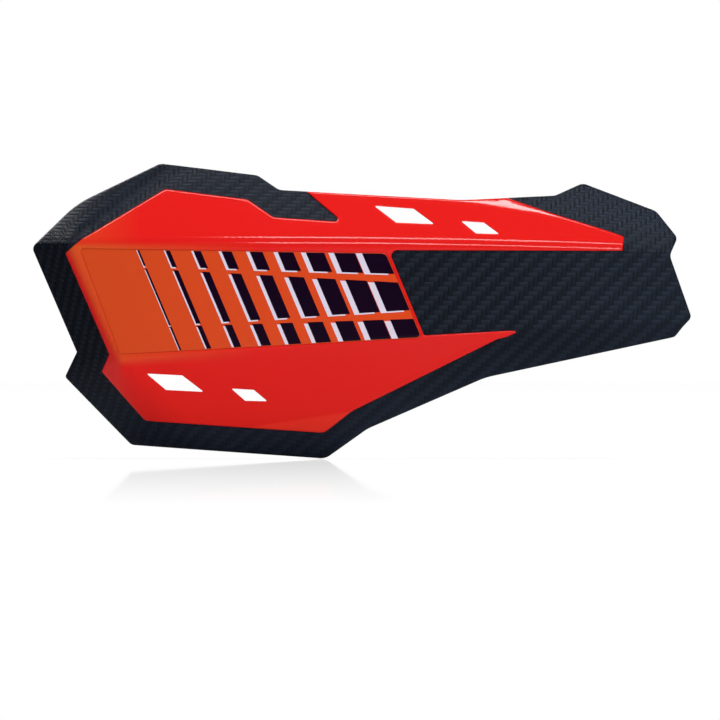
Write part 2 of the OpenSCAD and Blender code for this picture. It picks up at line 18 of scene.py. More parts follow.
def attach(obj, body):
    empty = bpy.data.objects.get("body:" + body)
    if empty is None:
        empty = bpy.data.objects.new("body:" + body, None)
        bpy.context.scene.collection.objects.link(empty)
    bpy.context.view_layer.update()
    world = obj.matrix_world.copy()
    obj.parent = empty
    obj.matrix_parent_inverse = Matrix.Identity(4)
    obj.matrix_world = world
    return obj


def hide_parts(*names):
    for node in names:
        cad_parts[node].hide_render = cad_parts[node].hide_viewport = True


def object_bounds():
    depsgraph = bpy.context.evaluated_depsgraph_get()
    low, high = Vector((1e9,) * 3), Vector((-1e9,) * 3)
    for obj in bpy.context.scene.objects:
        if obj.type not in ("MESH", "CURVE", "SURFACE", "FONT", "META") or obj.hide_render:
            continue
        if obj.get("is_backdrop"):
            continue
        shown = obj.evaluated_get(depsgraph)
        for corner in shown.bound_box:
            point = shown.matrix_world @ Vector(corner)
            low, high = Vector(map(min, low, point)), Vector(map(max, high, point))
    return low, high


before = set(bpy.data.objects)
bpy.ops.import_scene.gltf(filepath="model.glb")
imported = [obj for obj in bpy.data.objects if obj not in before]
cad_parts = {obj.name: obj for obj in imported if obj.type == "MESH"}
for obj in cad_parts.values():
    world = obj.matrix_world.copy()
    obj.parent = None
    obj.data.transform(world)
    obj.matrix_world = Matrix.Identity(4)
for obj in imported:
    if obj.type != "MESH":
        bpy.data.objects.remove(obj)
cad_low, cad_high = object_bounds()
print("CAD box in mm:", [round(v * 1000, 1) for v in (cad_high - cad_low)])

# %% [markdown]
# ## Sums that work on numbers and on nodes
# The shield is one folded surface, and its rule is needed twice: as a node tree that folds flat pieces, and
# as numbers that tell where the ridges run. Writing the rule twice invites mistakes. A small class lets the
# same lines of Python either work on numbers or add Math nodes to a tree.
# %% A wire in a node tree
class Wire:
    """The output of a node. Each sum that it is used in adds a Math node to the same tree."""

    def __init__(self, tree, socket):
        self.tree, self.socket = tree, socket

    def maths(self, operation, *values):
        return wire(self.tree, "ShaderNodeMath", dict(enumerate((self, *values))), operation=operation)

    def __add__(self, value):
        return self.maths("ADD", value)

    def __sub__(self, value):
        return self.maths("SUBTRACT", value)

    def __mul__(self, value):
        return self.maths("MULTIPLY", value)

    def __truediv__(self, value):
        return self.maths("DIVIDE", value)

    def __rsub__(self, value):
        return self * -1.0 + value

    def __rtruediv__(self, value):
        return self.maths("POWER", -1.0) * value

    __radd__ = __add__
    __rmul__ = __mul__


# %% Nodes and what their inputs get
def feed(tree, socket, value):
    """Gives an input socket a wire, a socket, a node's first output or a plain value."""
    if isinstance(value, bpy.types.Node):
        value = value.outputs[0]
    if isinstance(value, Wire):
        value = value.socket
    if isinstance(value, bpy.types.NodeSocket):
        tree.links.new(value, socket)
    else:
        socket.default_value = value


def add(tree, kind, values=None, **settings):
    """Adds a node, with its settings and what its inputs get, by name or number."""
    node = tree.nodes.new(kind)
    for key, value in settings.items():
        setattr(node, key, value)
    for key, value in (values or {}).items():
        feed(tree, node.inputs[key], value)
    return node


def wire(tree, kind, values=None, output=0, **settings):
    """Adds a node and gives one of its outputs as a wire."""
    return Wire(tree, add(tree, kind, values, **settings).outputs[output])


def split(tree, vector):
    """The three parts of a vector as wires."""
    return [Wire(tree, part) for part in add(tree, "ShaderNodeSeparateXYZ", {0: vector}).outputs]


def joined(tree, *parts):
    return wire(tree, "ShaderNodeCombineXYZ", dict(enumerate(parts)))


# %% Sums on a wire or on numbers
def either(value, operation, function, *more):
    if isinstance(value, Wire):
        return value.maths(operation, *more)
    return function(value, *more)


def most(value, other):
    return either(value, "MAXIMUM", np.maximum, other)


def least(value, other):
    return either(value, "MINIMUM", np.minimum, other)


def sine(angle):
    return either(angle, "SINE", np.sin)


def cosine(angle):
    return either(angle, "COSINE", np.cos)


def between(value, low, high):
    """0 at low and 1 at high, clipped."""
    return least(most((value - low) / (high - low), 0.0), 1.0)


# %% [markdown]
# ## The rule of the shield's surface
# The shield is a moulded sheet with a flat front that bows a little, an upper face and a lower face that lean
# back, and an outer end that folds back. All of it can be written as a depth behind the foremost line at each
# place along the handlebar and each height. Every crease adds its share past its own line, rounded over a
# small width. The same creases also tell how far it is along the surface, which the woven texture needs to
# stay square on the leaning faces. Lengths are in millimetres until the pieces are done.
# %% Sizes of the surface
SIZES = {
    "Bow radius": 900.0,
    "Bevel lean": math.radians(22),
    "Upper lean": math.radians(42),
    "Corner lean": math.radians(50),
    "Lower lean": math.radians(30),
    "Bottom lean": math.radians(38),
    "End lean": math.radians(62),
    "Bevel width": 2.4,
    "Ridge height": 25.4,
    "Lower ridge height": -11.9,
    "End fold place": -101.0,
    "End fold slant": -0.44,
    "Ridge softness": 0.7,
    "Crease softness": 1.2,
}
LOWER_SOFTNESS = 0.9
BOW_MIDDLE = 10.0
FOLD_FOOT = 1.7  # The end's fold is slanted down to this many lower ridge heights.


def upper_ridge(x, s):
    past = most(x + 20, 0.0)
    return s["Ridge height"] - past * past / 6200


def lower_ridge(x, s):
    return s["Lower ridge height"] + 0.073 * x - x * x / 9300


def corner_line(x):
    return x * -0.158 + 47.6


def bottom_line(x):
    return x * 0.155 + -37.3


def end_fold(z, s):
    """Where the outer end folds at height z: slanted beside the front face, and running off above and below."""
    low, high = s["Lower ridge height"] * FOLD_FOOT, s["Ridge height"]
    beside = most(least(z, high), low)
    above, under = most(z - high, 0.0), least(z - low, 0.0)
    return s["End fold place"] + s["End fold slant"] * beside + above - under * 0.35


def end_fold_width(z, s):
    """Half the width of the end's bend, which grows past the front face."""
    past = most(most(z - s["Ridge height"], s["Lower ridge height"] * FOLD_FOOT - z), 0.0)
    return past * 0.8 + 1.4


# %% Depth and distances along the surface
def ramp(distance, soft):
    """0 before a line and the distance past it after, rounded over soft on each side."""
    part = least(most(distance, soft * -1.0), soft) + soft
    return part * part / (soft * 4.0) + most(distance - soft, 0.0)


def crease(distance, before, after, soft, below):
    """What a crease adds to the depth and to the way along the surface, past its line."""
    shift = sine((before + after) * 0.5) / cosine((after - before) * 0.5)
    past = ramp(distance + shift * below, soft)
    steeper = sine(after) / cosine(after) - sine(before) / cosine(before)
    longer = 1.0 / cosine(after) - 1.0 / cosine(before)
    return past * steeper, past * longer


def surface(x, z, below, s):
    """Depth of the surface at x, z and so far below the face, and the way along it sideways and upwards."""
    level = s["Bevel lean"] * 0.0
    ridge, lower = upper_ridge(x, s), lower_ridge(x, s)
    soft, wide = s["Ridge softness"], s["Crease softness"]
    up = [
        crease(z - ridge, level, s["Bevel lean"], soft, below),
        crease(z - ridge - s["Bevel width"], s["Bevel lean"], s["Upper lean"], soft, below),
        crease(z - corner_line(x), s["Upper lean"], s["Corner lean"], wide, below),
    ]
    down = [
        crease(lower - z, level, s["Lower lean"], LOWER_SOFTNESS, below),
        crease(bottom_line(x) - z, s["Lower lean"], s["Bottom lean"], wide, below),
    ]
    end = crease(end_fold(z, s) - x, level, s["End lean"], end_fold_width(z, s), below)
    bow = x - s["End fold slant"] * z - BOW_MIDDLE
    depth = below + bow * bow / (s["Bow radius"] * 2.0)
    for part in (*up, *down, end):
        depth = depth + part[0]
    across = x - end[1]
    upwards = z + up[0][1] + up[1][1] + up[2][1] - down[0][1] - down[1][1]
    return depth, across, upwards


def depth_at(x, z, below):
    return float(surface(x, z, below, SIZES)[0])


print("Depth at the outer end's tip in mm:", round(depth_at(-125.0, 24.0, 0.6), 2))

# %% [markdown]
# ## A tree that folds flat pieces
# In the workshop a sheet is pressed over a form. Here each piece is first drawn flat, with its depth below the
# face as its second coordinate, and a Geometry Nodes tree then moves every point back onto the folded surface.
# One tree serves the frame, the cover, the sticker and its recess, so they always lie on each other.
# %% The surface as a node group
def new_tree(name, inputs, outputs):
    """A Geometry Nodes tree with its inputs and outputs, each given as (name, type, default)."""
    tree = bpy.data.node_groups.new(name, "GeometryNodeTree")
    for label, kind, default in inputs:
        socket = tree.interface.new_socket(label, in_out="INPUT", socket_type=kind)
        if default is not None:
            socket.default_value = default
    for label, kind in outputs:
        tree.interface.new_socket(label, in_out="OUTPUT", socket_type=kind)
    return tree, tree.nodes.new("NodeGroupInput"), tree.nodes.new("NodeGroupOutput")


FLOAT, MATERIAL = "NodeSocketFloat", "NodeSocketMaterial"
GEOMETRY_IN, GEOMETRY_OUT = [("Geometry", "NodeSocketGeometry", None)], [("Geometry", "NodeSocketGeometry")]
PLACE, WAYS = ("Along", "Height", "Below"), ("Depth", "Across", "Upwards")
surface_tree, given, result = new_tree(
    "Shield surface",
    [(name, FLOAT, 0.0) for name in PLACE] + [(name, FLOAT, value) for name, value in SIZES.items()],
    [(name, FLOAT) for name in WAYS],
)
sizes = {name: Wire(surface_tree, given.outputs[name]) for name in SIZES}
sums = surface(*(Wire(surface_tree, given.outputs[name]) for name in PLACE), sizes)
for name, value in zip(WAYS, sums):
    feed(surface_tree, result.inputs[name], value)
print("Nodes in the surface group:", len(surface_tree.nodes))


def on_surface(tree, x, z, below):
    """The surface group in another tree: its depth and ways along, as wires."""
    node = add(tree, "GeometryNodeGroup", node_tree=surface_tree)
    for name, value in zip(PLACE, (x, z, below)):
        feed(tree, node.inputs[name], value)
    return [Wire(tree, node.outputs[name]) for name in WAYS]


# %% The folding tree
fold_tree, given, result = new_tree("Fold onto the shield", GEOMETRY_IN, GEOMETRY_OUT)
x, below, z = split(fold_tree, add(fold_tree, "GeometryNodeInputPosition"))
feed(fold_tree, result.inputs[0], add(fold_tree, "GeometryNodeSetPosition", {
    "Geometry": given, "Position": joined(fold_tree, x, on_surface(fold_tree, x, z, below)[0], z)}))


def made_plain(piece):
    """Turns a piece's modifiers into its plain mesh and takes them off."""
    evaluated = piece.evaluated_get(bpy.context.evaluated_depsgraph_get())
    mesh = bpy.data.meshes.new_from_object(evaluated)
    piece.modifiers.clear()
    old, piece.data = piece.data, mesh
    mesh.name = piece.name
    bpy.data.meshes.remove(old)
    return piece


def through_tree(piece, tree, **inputs):
    """Runs a piece through a Geometry Nodes tree. Underscores in the names of inputs stand for spaces."""
    modifier = piece.modifiers.new(tree.name, "NODES")
    modifier.node_group = tree
    for item in tree.interface.items_tree:
        key = item.name.replace(" ", "_").lower()
        if item.in_out == "INPUT" and key in inputs:
            modifier[item.identifier] = inputs[key]
    return made_plain(piece)


# %% [markdown]
# ## Outlines with rounded corners
# Each piece's outline is a list of corners with a radius each, as a designer draws it. A rounded edge needs
# the same outline again, a little inside the first. Moving every side inwards and rounding again, with as
# many points as before, gives rings that can be joined by neat quads.
# %% Corners and the arcs in them
Corner = namedtuple("Corner", "place into out side angle radius")


def corner_facts(corners, inset):
    """For each corner: its place after the sides have moved in, its directions, side, turn and radius."""
    points = [Vector(c[:2]) for c in corners]
    facts = []
    for i, point in enumerate(points):
        into, out = (point - points[i - 1]).normalized(), (points[(i + 1) % len(points)] - point).normalized()
        normals = Vector((into.y, -into.x)), Vector((out.y, -out.x))
        moved = point + (normals[0] + normals[1]) * (inset / (1 + normals[0].dot(normals[1])))
        side = 1 if into.cross(out) < 0 else -1
        angle = math.acos(max(-1.0, min(1.0, into.dot(out))))
        facts.append(Corner(moved, into, out, side, angle, max(corners[i][2] - side * inset, 0.03)))
    return facts


def arc_of(corner):
    """Start, end and centre of the arc in a rounded corner."""
    reach = corner.radius * math.tan(corner.angle / 2)
    start = corner.place - corner.into * reach
    centre = start + Vector((corner.into.y, -corner.into.x)) * corner.side * corner.radius
    return start, corner.place + corner.out * reach, centre


# %% Rings of an outline
SIDE_STEP, TURN_STEP = 1.1, 0.13  # The most millimetres and radians from point to point.


def ring(corners, inset=0.0):
    """Points of the outline moved inwards by inset, clockwise, the same number for every inset."""
    drawn, moved = corner_facts(corners, 0.0), corner_facts(corners, inset)
    points = []
    for i, corner in enumerate(moved):
        start, _, centre = arc_of(corner)
        round_steps = math.ceil(drawn[i].radius * corner.angle / SIDE_STEP)
        steps = max(3, math.ceil(corner.angle / TURN_STEP), round_steps)
        for k in range(steps + 1):
            turned = Matrix.Rotation(-corner.side * corner.angle * k / steps, 2) @ (start - centre)
            points.append(centre + turned)
        following = (i + 1) % len(moved)
        gap = arc_of(drawn[following])[0] - arc_of(drawn[i])[1]
        target = arc_of(moved[following])[0]
        last, pieces = points[-1].copy(), max(1, math.ceil(gap.length / SIDE_STEP))
        points += [last.lerp(target, k / pieces) for k in range(1, pieces)]
    return np.array([tuple(p) for p in points])


def rounding(radius, depth, steps=4, back=False):
    """Steps (inset, depth) of a rounded edge: from the face to the side, or from the side to the back."""
    turns = [math.pi / 2 * k / steps for k in range(steps + 1)]
    if back:
        return [(radius * (1 - math.cos(a)), depth - radius * (1 - math.sin(a))) for a in turns]
    return [(radius * (1 - math.sin(a)), depth + radius * (1 - math.cos(a))) for a in turns]


# %% [markdown]
# ## Flat plates with points along the ridges
# A flat plate could be one big face, but it has to bend. So its faces are filled with triangles whose points
# follow the ridges and creases, closely across each bend and loosely between. Blender's own constrained
# Delaunay call joins such points with the outline.
# %% Rows and columns of points
ROW_COUNTS = [10, 5, 14, 1, 5, 8]  # Rows below, between and above the five bends.
LEAST_FACE = 3.2
END_REACH, END_COLUMNS = 36, 24
INNER_REACH, INNER_COLUMNS = 132.0, 92


def lean_shift(before, after):
    return math.sin((before + after) / 2) / math.cos((after - before) / 2)


def rows_at(x, below):
    """Heights of the rows of points at x: 6 to a bend, and about 2.4 mm apart elsewhere."""
    s = SIZES
    soft, wide = s["Ridge softness"], s["Crease softness"]
    lower = lower_ridge(x, s) + below * lean_shift(0, s["Lower lean"])
    bottom = bottom_line(x) + below * lean_shift(s["Lower lean"], s["Bottom lean"])
    bottom = least(bottom, lower - LEAST_FACE)
    upper = upper_ridge(x, s) - below * lean_shift(0, s["Bevel lean"])
    bevel = upper_ridge(x, s) + s["Bevel width"] - below * lean_shift(s["Bevel lean"], s["Upper lean"])
    bevel = most(bevel, upper + 1.5)
    corner = corner_line(x) - below * lean_shift(s["Upper lean"], s["Corner lean"])
    corner = most(corner, bevel + LEAST_FACE)
    bends = [(bottom, wide), (lower, LOWER_SOFTNESS), (upper, soft), (bevel, soft), (corner, wide)]
    edges = [bottom - 26, *(v for b, w in bends for v in (b - w, b + w)), corner + 22]
    rows = []
    for k, count in enumerate(ROW_COUNTS):
        low, high = edges[2 * k], edges[2 * k + 1]
        rows += [low + (high - low) * i / (count + 1) for i in range(1, count + 1)]
        if k < len(bends):
            place, width = bends[k]
            rows += [place + width * share for share in (-1, -0.6, -0.2, 0.2, 0.6, 1)]
    return rows


def columns_at(z, below):
    """Places of the columns at height z: close together across the outer end's fold."""
    fold = end_fold(z, SIZES) + below * lean_shift(0, SIZES["End lean"])
    wide = end_fold_width(z, SIZES)
    near = fold + wide
    return ([fold - wide - END_REACH + END_REACH * i / END_COLUMNS for i in range(END_COLUMNS)]
            + [fold + wide * i / 4 for i in range(-4, 5)]
            + [near + (INNER_REACH - near) * i / INNER_COLUMNS for i in range(1, INNER_COLUMNS + 1)])


GUIDES = {}


def guide_points(below):
    """Where rows and columns cross. Each bends with the other, so it takes two steps, once for each depth."""
    below = round(below, 2)
    if below not in GUIDES:
        points = []
        for j, height in enumerate(rows_at(0.0, below)):
            start = np.array(columns_at(height, below))
            z = rows_at(start, below)[j]
            x = np.diagonal(np.array(columns_at(z, below)))
            points.append(np.stack([x, z], 1))
        GUIDES[below] = np.concatenate(points)
    return GUIDES[below]


# %% Filling a sheet
CLEAR = 0.6  # New points stay this far from the outline.


def inside(points, loops):
    """Which points lie inside the first closed loop and outside the others."""
    x, z = points[:, 0][:, None], points[:, 1][:, None]
    kept = np.ones(len(points), bool)
    for number, loop in enumerate(loops):
        x1, z1 = loop[:, 0][None], loop[:, 1][None]
        x2, z2 = np.roll(loop[:, 0], -1)[None], np.roll(loop[:, 1], -1)[None]
        meets = (x2 - x1) * (z - z1) / np.where(z2 == z1, 1e-12, z2 - z1) + x1
        odd = (((z1 > z) != (z2 > z)) & (x < meets)).sum(1) % 2 == 1
        kept &= odd if number == 0 else ~odd
    return kept


def filled(loops, below):
    """Fills the first loop except the others: the new points, and faces that number the loops' points first."""
    border = np.concatenate(loops)
    tree = kdtree.KDTree(len(border))
    for k, p in enumerate(border):
        tree.insert((p[0], p[1], 0.0), k)
    tree.balance()
    guides = guide_points(below)
    low, high = loops[0].min(0), loops[0].max(0)
    guides = guides[((guides > low) & (guides < high)).all(1)]
    guides = [p for p in guides[inside(guides, loops)] if tree.find((p[0], p[1], 0.0))[2] > CLEAR]
    points = [Vector(p) for p in border] + [Vector(p) for p in guides]
    edges, start = [], 0
    for loop in loops:
        n = len(loop)
        edges += [(start + k, start + (k + 1) % n) for k in range(n)]
        start += n
    verts, _, faces, originals, _, _ = delaunay_2d_cdt(points, edges, [], 0, 1e-6, True)
    centres = np.array([np.mean([verts[k] for k in f], 0) for f in faces])
    number = [ids[0] for ids in originals]
    return np.array([tuple(p) for p in guides]).reshape(-1, 2), [
        [number[k] for k in f] for f, kept in zip(faces, inside(centres, loops)) if kept]


# %% Plates
class Shape:
    """Points and faces of a flat piece while it is put together."""

    def __init__(self):
        self.points, self.faces = [], []

    def add_ring(self, loop, below):
        start = len(self.points)
        self.points += [(x, below, z) for x, z in loop]
        return list(range(start, len(self.points)))

    def join(self, first, second):
        n = len(first)
        self.faces += [(first[k], first[(k + 1) % n], second[(k + 1) % n], second[k]) for k in range(n)]

    def wall(self, corners, profile, sign=1):
        """Rings round an outline at each (inset, depth), joined by quads. Returns the first and last ring."""
        rings = [self.add_ring(ring(corners, sign * inset), below) for inset, below in profile]
        for first, second in zip(rings, rings[1:]):
            self.join(first, second)
        return rings[0], rings[-1]

    def sheet(self, rings, below):
        loops = [np.array([(self.points[k][0], self.points[k][2]) for k in r]) for r in rings]
        extra, faces = filled(loops, below)
        number = [k for r in rings for k in r] + self.add_ring(extra, below)
        self.faces += [tuple(number[k] for k in f) for f in faces]

    def piece(self, name):
        piece = empty_piece(name)
        piece.data.from_pydata(self.points, [], self.faces)
        return outwards(piece)


def empty_piece(name):
    piece = bpy.data.objects.new(name, bpy.data.meshes.new(name))
    bpy.context.scene.collection.objects.link(piece)
    return piece


def outwards(piece):
    """Merges doubles and turns every face outwards."""
    work = bmesh.new()
    work.from_mesh(piece.data)
    bmesh.ops.remove_doubles(work, verts=work.verts, dist=1e-5)
    bmesh.ops.recalc_face_normals(work, faces=work.faces)
    work.to_mesh(piece.data)
    work.free()
    return piece


def plate(name, corners, profile, holes=(), hole_profile=(), recess=None, recess_profile=()):
    """A flat plate with holes and, on its face, one recess. Profiles run from the face to the back."""
    shape = Shape()
    outer_face, outer_back = shape.wall(corners, profile)
    hole_rings = [shape.wall(hole, hole_profile, -1) for hole in holes]
    fronts, backs = [outer_face] + [r[0] for r in hole_rings], [outer_back] + [r[1] for r in hole_rings]
    if recess:
        rim, floor = shape.wall(recess, recess_profile, -1)
        shape.sheet([floor], recess_profile[-1][1])
        fronts.append(rim)
    shape.sheet(fronts, profile[0][1])
    shape.sheet(backs, profile[-1][1])
    return shape.piece(name)


# %% [markdown]
# ## Outlines of the shield
# The corners are measured along the handlebar and upwards from the shield's own middle, clockwise, with a
# radius each. The cover's outline runs out over the frame's upper edge, where both end flush.
# %% Corners
FRAME_CORNERS = [
    (-125.9, 24.0, 2.5), (-109, 40.6, 38), (-77, 56, 4), (-39.9, 51.4, 5), (-31.7, 45.8, 5), (37.6, 42, 60),
    (73.2, 43.7, 5), (83.8, 48.5, 4), (111.7, 37.8, 5), (119.7, 27.6, 2.5), (116.7, 20.9, 4), (125, -2.7, 2.5),
    (121.8, -6.1, 3), (118.6, -10.1, 2.5), (46.7, -25.5, 30), (1.9, -45, 14), (-14.1, -56.4, 6),
    (-88.1, -51.2, 3.5), (-113.5, -25.3, 1.4), (-108.8, -15.8, 0.6),
]
COVER_CORNERS = [
    (-113, 21.8, 0.6), (-106.6, 27.1, 2), (-75.1, 46.2, 3), (-43.7, 42.2, 4), (-33.9, 35.4, 4), (-7.6, 33.6, 1),
    (-20.9, 44.8, 0.2), (-26, 50, 0.2), (50, 50, 0.2), (55, 42.7, 0.2), (71.4, 37.1, 20), (94.5, 29.8, 10),
    (99.4, 28, 1.2), (98.7, 22.6, 0.5), (9.85, 22.8, 2.2), (23.35, -9.5, 1), (55.5, -7.7, 1), (59.4, -8, 0.4),
    (54.5, -10.2, 1), (51.3, -10.9, 2), (-4, -38.3, 14), (-14.6, -46.6, 5), (-82.8, -42, 3.5),
    (-99.3, -23.3, 0.8), (-96.3, -16.7, 0.6),
]
STICKER_CORNERS = [(-107.5, 23.5, 1), (9.05, 21.85, 3), (22.75, -10.5, 1.6), (-92.2, -16.7, 1)]
VENTS = [
    [(4.5, 39.7), (19.4, 38.6), (27.2, 32.8), (12.8, 33.4)],
    [(37.4, 33.9), (46.1, 33.3), (51.9, 29), (43.1, 29.3)],
    [(-82, -24), (-68.5, -24.7), (-60.4, -30.9), (-74.6, -30.2)],
    [(-49.8, -29.7), (-41.3, -30.2), (-36.2, -34.5), (-44.6, -34.3)],
]
VENT_RADIUS = 0.2


def crossing(a, b, c, d):
    """Where the line from a to b meets the line from c to d."""
    a, b, c, d = (Vector(p[:2]) for p in (a, b, c, d))
    along = b - a
    return a + along * ((c - a).cross(d - c) / along.cross(d - c))


outer_meeting = crossing(COVER_CORNERS[5], COVER_CORNERS[6], FRAME_CORNERS[4], FRAME_CORNERS[5])
inner_meeting = crossing(COVER_CORNERS[8], COVER_CORNERS[9], FRAME_CORNERS[5], FRAME_CORNERS[6])
CLIPPED_COVER = (COVER_CORNERS[:6] + [(*outer_meeting, 0.25), FRAME_CORNERS[5], (*inner_meeting, 0.25)]
                 + COVER_CORNERS[10:])
vent_corners = [[(*c, VENT_RADIUS) for c in vent] for vent in VENTS]
print("The cover meets the upper edge at", [round(v, 1) for v in (*outer_meeting, *inner_meeting)])

# %% [markdown]
# ## The frame
# The frame is one moulding: a shell with the shield's whole outline, a seat that the cover is let into, a bead
# along its rear edge, two braced bosses for the arm's screws, and five towers for the cover's screws. The shell
# is drawn flat and folded. The bosses stand straight towards the rider, so they are added after the folding,
# by Boolean, as are the seat and the bores, which are cut.
# %% Shell and seat
FACE_STEP = 0.6  # The cover stands this far out of the frame's face.
WALL = 3.6
BACK_OF_BEAD = 4.8
COVER_THICK = 1.6
FIT = 0.05

bead = [(2.3, BACK_OF_BEAD), (2.52, 4.72), (2.6, 4.5), (2.6, 3.9), (2.69, 3.69), (2.9, WALL)]
shell_profile = rounding(0.8, FACE_STEP) + rounding(0.5, BACK_OF_BEAD, back=True) + bead
vent_wall = [(0.4, FACE_STEP), (0.4, 3.3), (0.5, 3.5), (0.7, WALL)]
shell = plate("shield_shell", FRAME_CORNERS, shell_profile, vent_corners, vent_wall)
seat = plate("seat", COVER_CORNERS, [(-FIT, -8.0), (-FIT, COVER_THICK + FIT)])
for piece in (shell, seat):
    through_tree(piece, fold_tree)
print("Shell:", len(shell.data.polygons), "faces")


# %% Posts behind the shield
def post(name, loop_at, root, back, edge=0.4):
    """A boss from the surface at depth root to a flat back. loop_at gives its outline for an inset."""
    loop = loop_at(0.0)
    middle = loop.mean(0)
    shape = Shape()
    shape.points.append((middle[0], depth_at(*middle, root), middle[1]))
    rings = []
    for share in (0.5, 1.0):
        points = middle + (loop - middle) * share
        rings.append(shape.add_ring(points, 0.0))
        for k, (x, z) in zip(rings[-1], points):
            shape.points[k] = (x, depth_at(x, z, root), z)
    rings += [shape.add_ring(loop_at(inset), y) for inset, y in rounding(edge, back, back=True)]
    n = len(loop)
    shape.faces += [(0, rings[0][(k + 1) % n], rings[0][k]) for k in range(n)]
    for first, second in zip(rings, rings[1:]):
        shape.join(first, second)
    shape.faces.append(tuple(rings[-1]))
    return shape.piece(name)


def circle(x, z, radius, count=48):
    turns = [-math.tau * k / count for k in range(count)]

    def loop_at(inset):
        reach = radius - inset
        return np.array([(x + reach * math.cos(a), z + reach * math.sin(a)) for a in turns])

    return loop_at


def bar_outline(x, z, half_x, half_z):
    corners = [(x + i * half_x, z + j * half_z, 0.3) for i, j in ((-1, 1), (1, 1), (1, -1), (-1, -1))]
    return lambda inset: ring(corners, inset)


def bore(name, x, z, radius, start, end=70.0):
    """A plain round cutter towards the rider."""
    shape, loop = Shape(), circle(x, z, radius)(0.0)
    rings = [shape.add_ring(loop, y) for y in (start, end)]
    shape.join(*rings)
    shape.faces += [tuple(rings[0]), tuple(rings[1])]
    return shape.piece(name)


def combined(piece, parts, operation):
    """Joins or cuts all parts at once and removes them."""
    group = bpy.data.collections.new("parts")
    bpy.context.scene.collection.children.link(group)
    for part in parts:
        group.objects.link(part)
    modifier = piece.modifiers.new("combine", "BOOLEAN")
    modifier.operation, modifier.solver = operation, "MANIFOLD"
    modifier.operand_type, modifier.collection = "COLLECTION", group
    made_plain(piece)
    for part in parts:
        bpy.data.objects.remove(part)
    bpy.data.collections.remove(group)


# %% Bosses, webs, towers and bores
BOSSES = [(-1.0, 6.0), (39.0, 6.0)]
BOSS_RADIUS, BOSS_BACK = 7.5, 15.0
WEB_LONG, WEB_THICK, WEB_BACK = 14.0, 1.0, 12.0  # Half the length and thickness.
INSERT_RADIUS, INSERT_BORE = 4.25, 8.55
FIXINGS = [(-86, 7), (-64, 32), (64, 30), (22, -15.5), (-24, -26)]
TOWER_RADIUS, TOWER_STANDS = 5.0, 5.0
PEG_RADIUS, PEG_HOLE, PEG_SHORTER = 3.0, 3.2, 0.3
PILOT_RADIUS, PILOT_DEPTH = 1.55, 6.05

root = (COVER_THICK + WALL) / 2
tower_backs = [depth_at(x, z, WALL) + TOWER_STANDS for x, z in FIXINGS]
posts = [post("boss", circle(x, z, BOSS_RADIUS, 64), root, BOSS_BACK) for x, z in BOSSES]
posts += [post("web", bar_outline(x, z, WEB_THICK, WEB_LONG), root, WEB_BACK) for x, z in BOSSES]
posts += [post("web", bar_outline(x, z, WEB_LONG, WEB_THICK), root, WEB_BACK) for x, z in BOSSES]
posts += [post("tower", circle(x, z, TOWER_RADIUS), root, back) for (x, z), back in zip(FIXINGS, tower_backs)]
bores = [bore("bore", x, z, INSERT_RADIUS, BOSS_BACK - INSERT_BORE) for x, z in BOSSES]
bores += [bore("bore", x, z, PEG_HOLE, -2.0) for x, z in FIXINGS]

combined(shell, [seat], "DIFFERENCE")
combined(shell, posts, "UNION")
combined(shell, bores, "DIFFERENCE")
print("Frame:", len(shell.data.polygons), "faces")

# %% [markdown]
# ## The cover and its sticker
# The glossy cover is thinner than the frame and is let into its seat, so that its face stands a little proud.
# Its edges are rounded, which is what catches the bright line along the shield's upper edge. A shallow recess
# in its middle takes the printed sticker. Pegs behind it reach through the towers to the small screws. The
# sticker is a plate like the others, as thin as the recess leaves it.
# %% Cover
RECESS, STICKER_THICK = 0.5, 0.2
cover_profile = rounding(0.6, 0.0) + rounding(0.2, COVER_THICK, steps=2, back=True)
cover_vent_wall = rounding(0.25, 0.0, steps=3) + [(0.0, COVER_THICK)]
recess_profile = [(inset + FIT, below) for inset, below in rounding(0.15, 0.0, steps=3)] + [(FIT, RECESS)]
cover = plate("cover_shell", CLIPPED_COVER, cover_profile, vent_corners, cover_vent_wall,
              STICKER_CORNERS, recess_profile)
through_tree(cover, fold_tree)
peg_root = (RECESS + COVER_THICK) / 2
pegs, pilots = [], []
for (x, z), back in zip(FIXINGS, tower_backs):
    pegs.append(post("peg", circle(x, z, PEG_RADIUS), peg_root, back - PEG_SHORTER, 0.3))
    pilots.append(bore("pilot", x, z, PILOT_RADIUS, back - PILOT_DEPTH))
combined(cover, pegs, "UNION")
combined(cover, pilots, "DIFFERENCE")
print("Cover:", len(cover.data.polygons), "faces")

# %% Sticker
STICKER_FACE = RECESS - STICKER_THICK
sticker = plate("sticker_film", STICKER_CORNERS, rounding(0.18, STICKER_FACE) + [(0.0, RECESS)])
through_tree(sticker, fold_tree)
print("Sticker:", len(sticker.data.polygons), "faces")

# %% [markdown]
# ## The print
# The sticker carries three rows of slanted bars that grow from thin to wide. Each dark bar lies over a pale one
# that stands out at its outer side and below it, like a shadow. A pattern that follows a rule is what Geometry
# Nodes are good at: one small box is repeated, and sums of its number give each copy its place, width and
# slant. The copies are trimmed to the sticker's own shape and laid on the folded surface by the same group as
# before. Each coat is a thin solid on the film.
# %% The sticker's edges, as the print needs them
PRINT_MARGIN = 0.35
upper_left, upper_right, lower_right, lower_left = (Vector(c[:2]) for c in STICKER_CORNERS)
SLANT = (lower_right.x - upper_right.x) / (lower_right.y - upper_right.y)


def foot_of(point):
    """Where the slanted line through a point meets height 0."""
    return point.x - SLANT * point.y


def print_edge(start, end, inwards):
    """Height of the print's edge at foot 0, and what it rises for each millimetre along."""
    rise = (end.y - start.y) / (foot_of(end) - foot_of(start))
    return start.y - rise * foot_of(start) + inwards * PRINT_MARGIN, rise


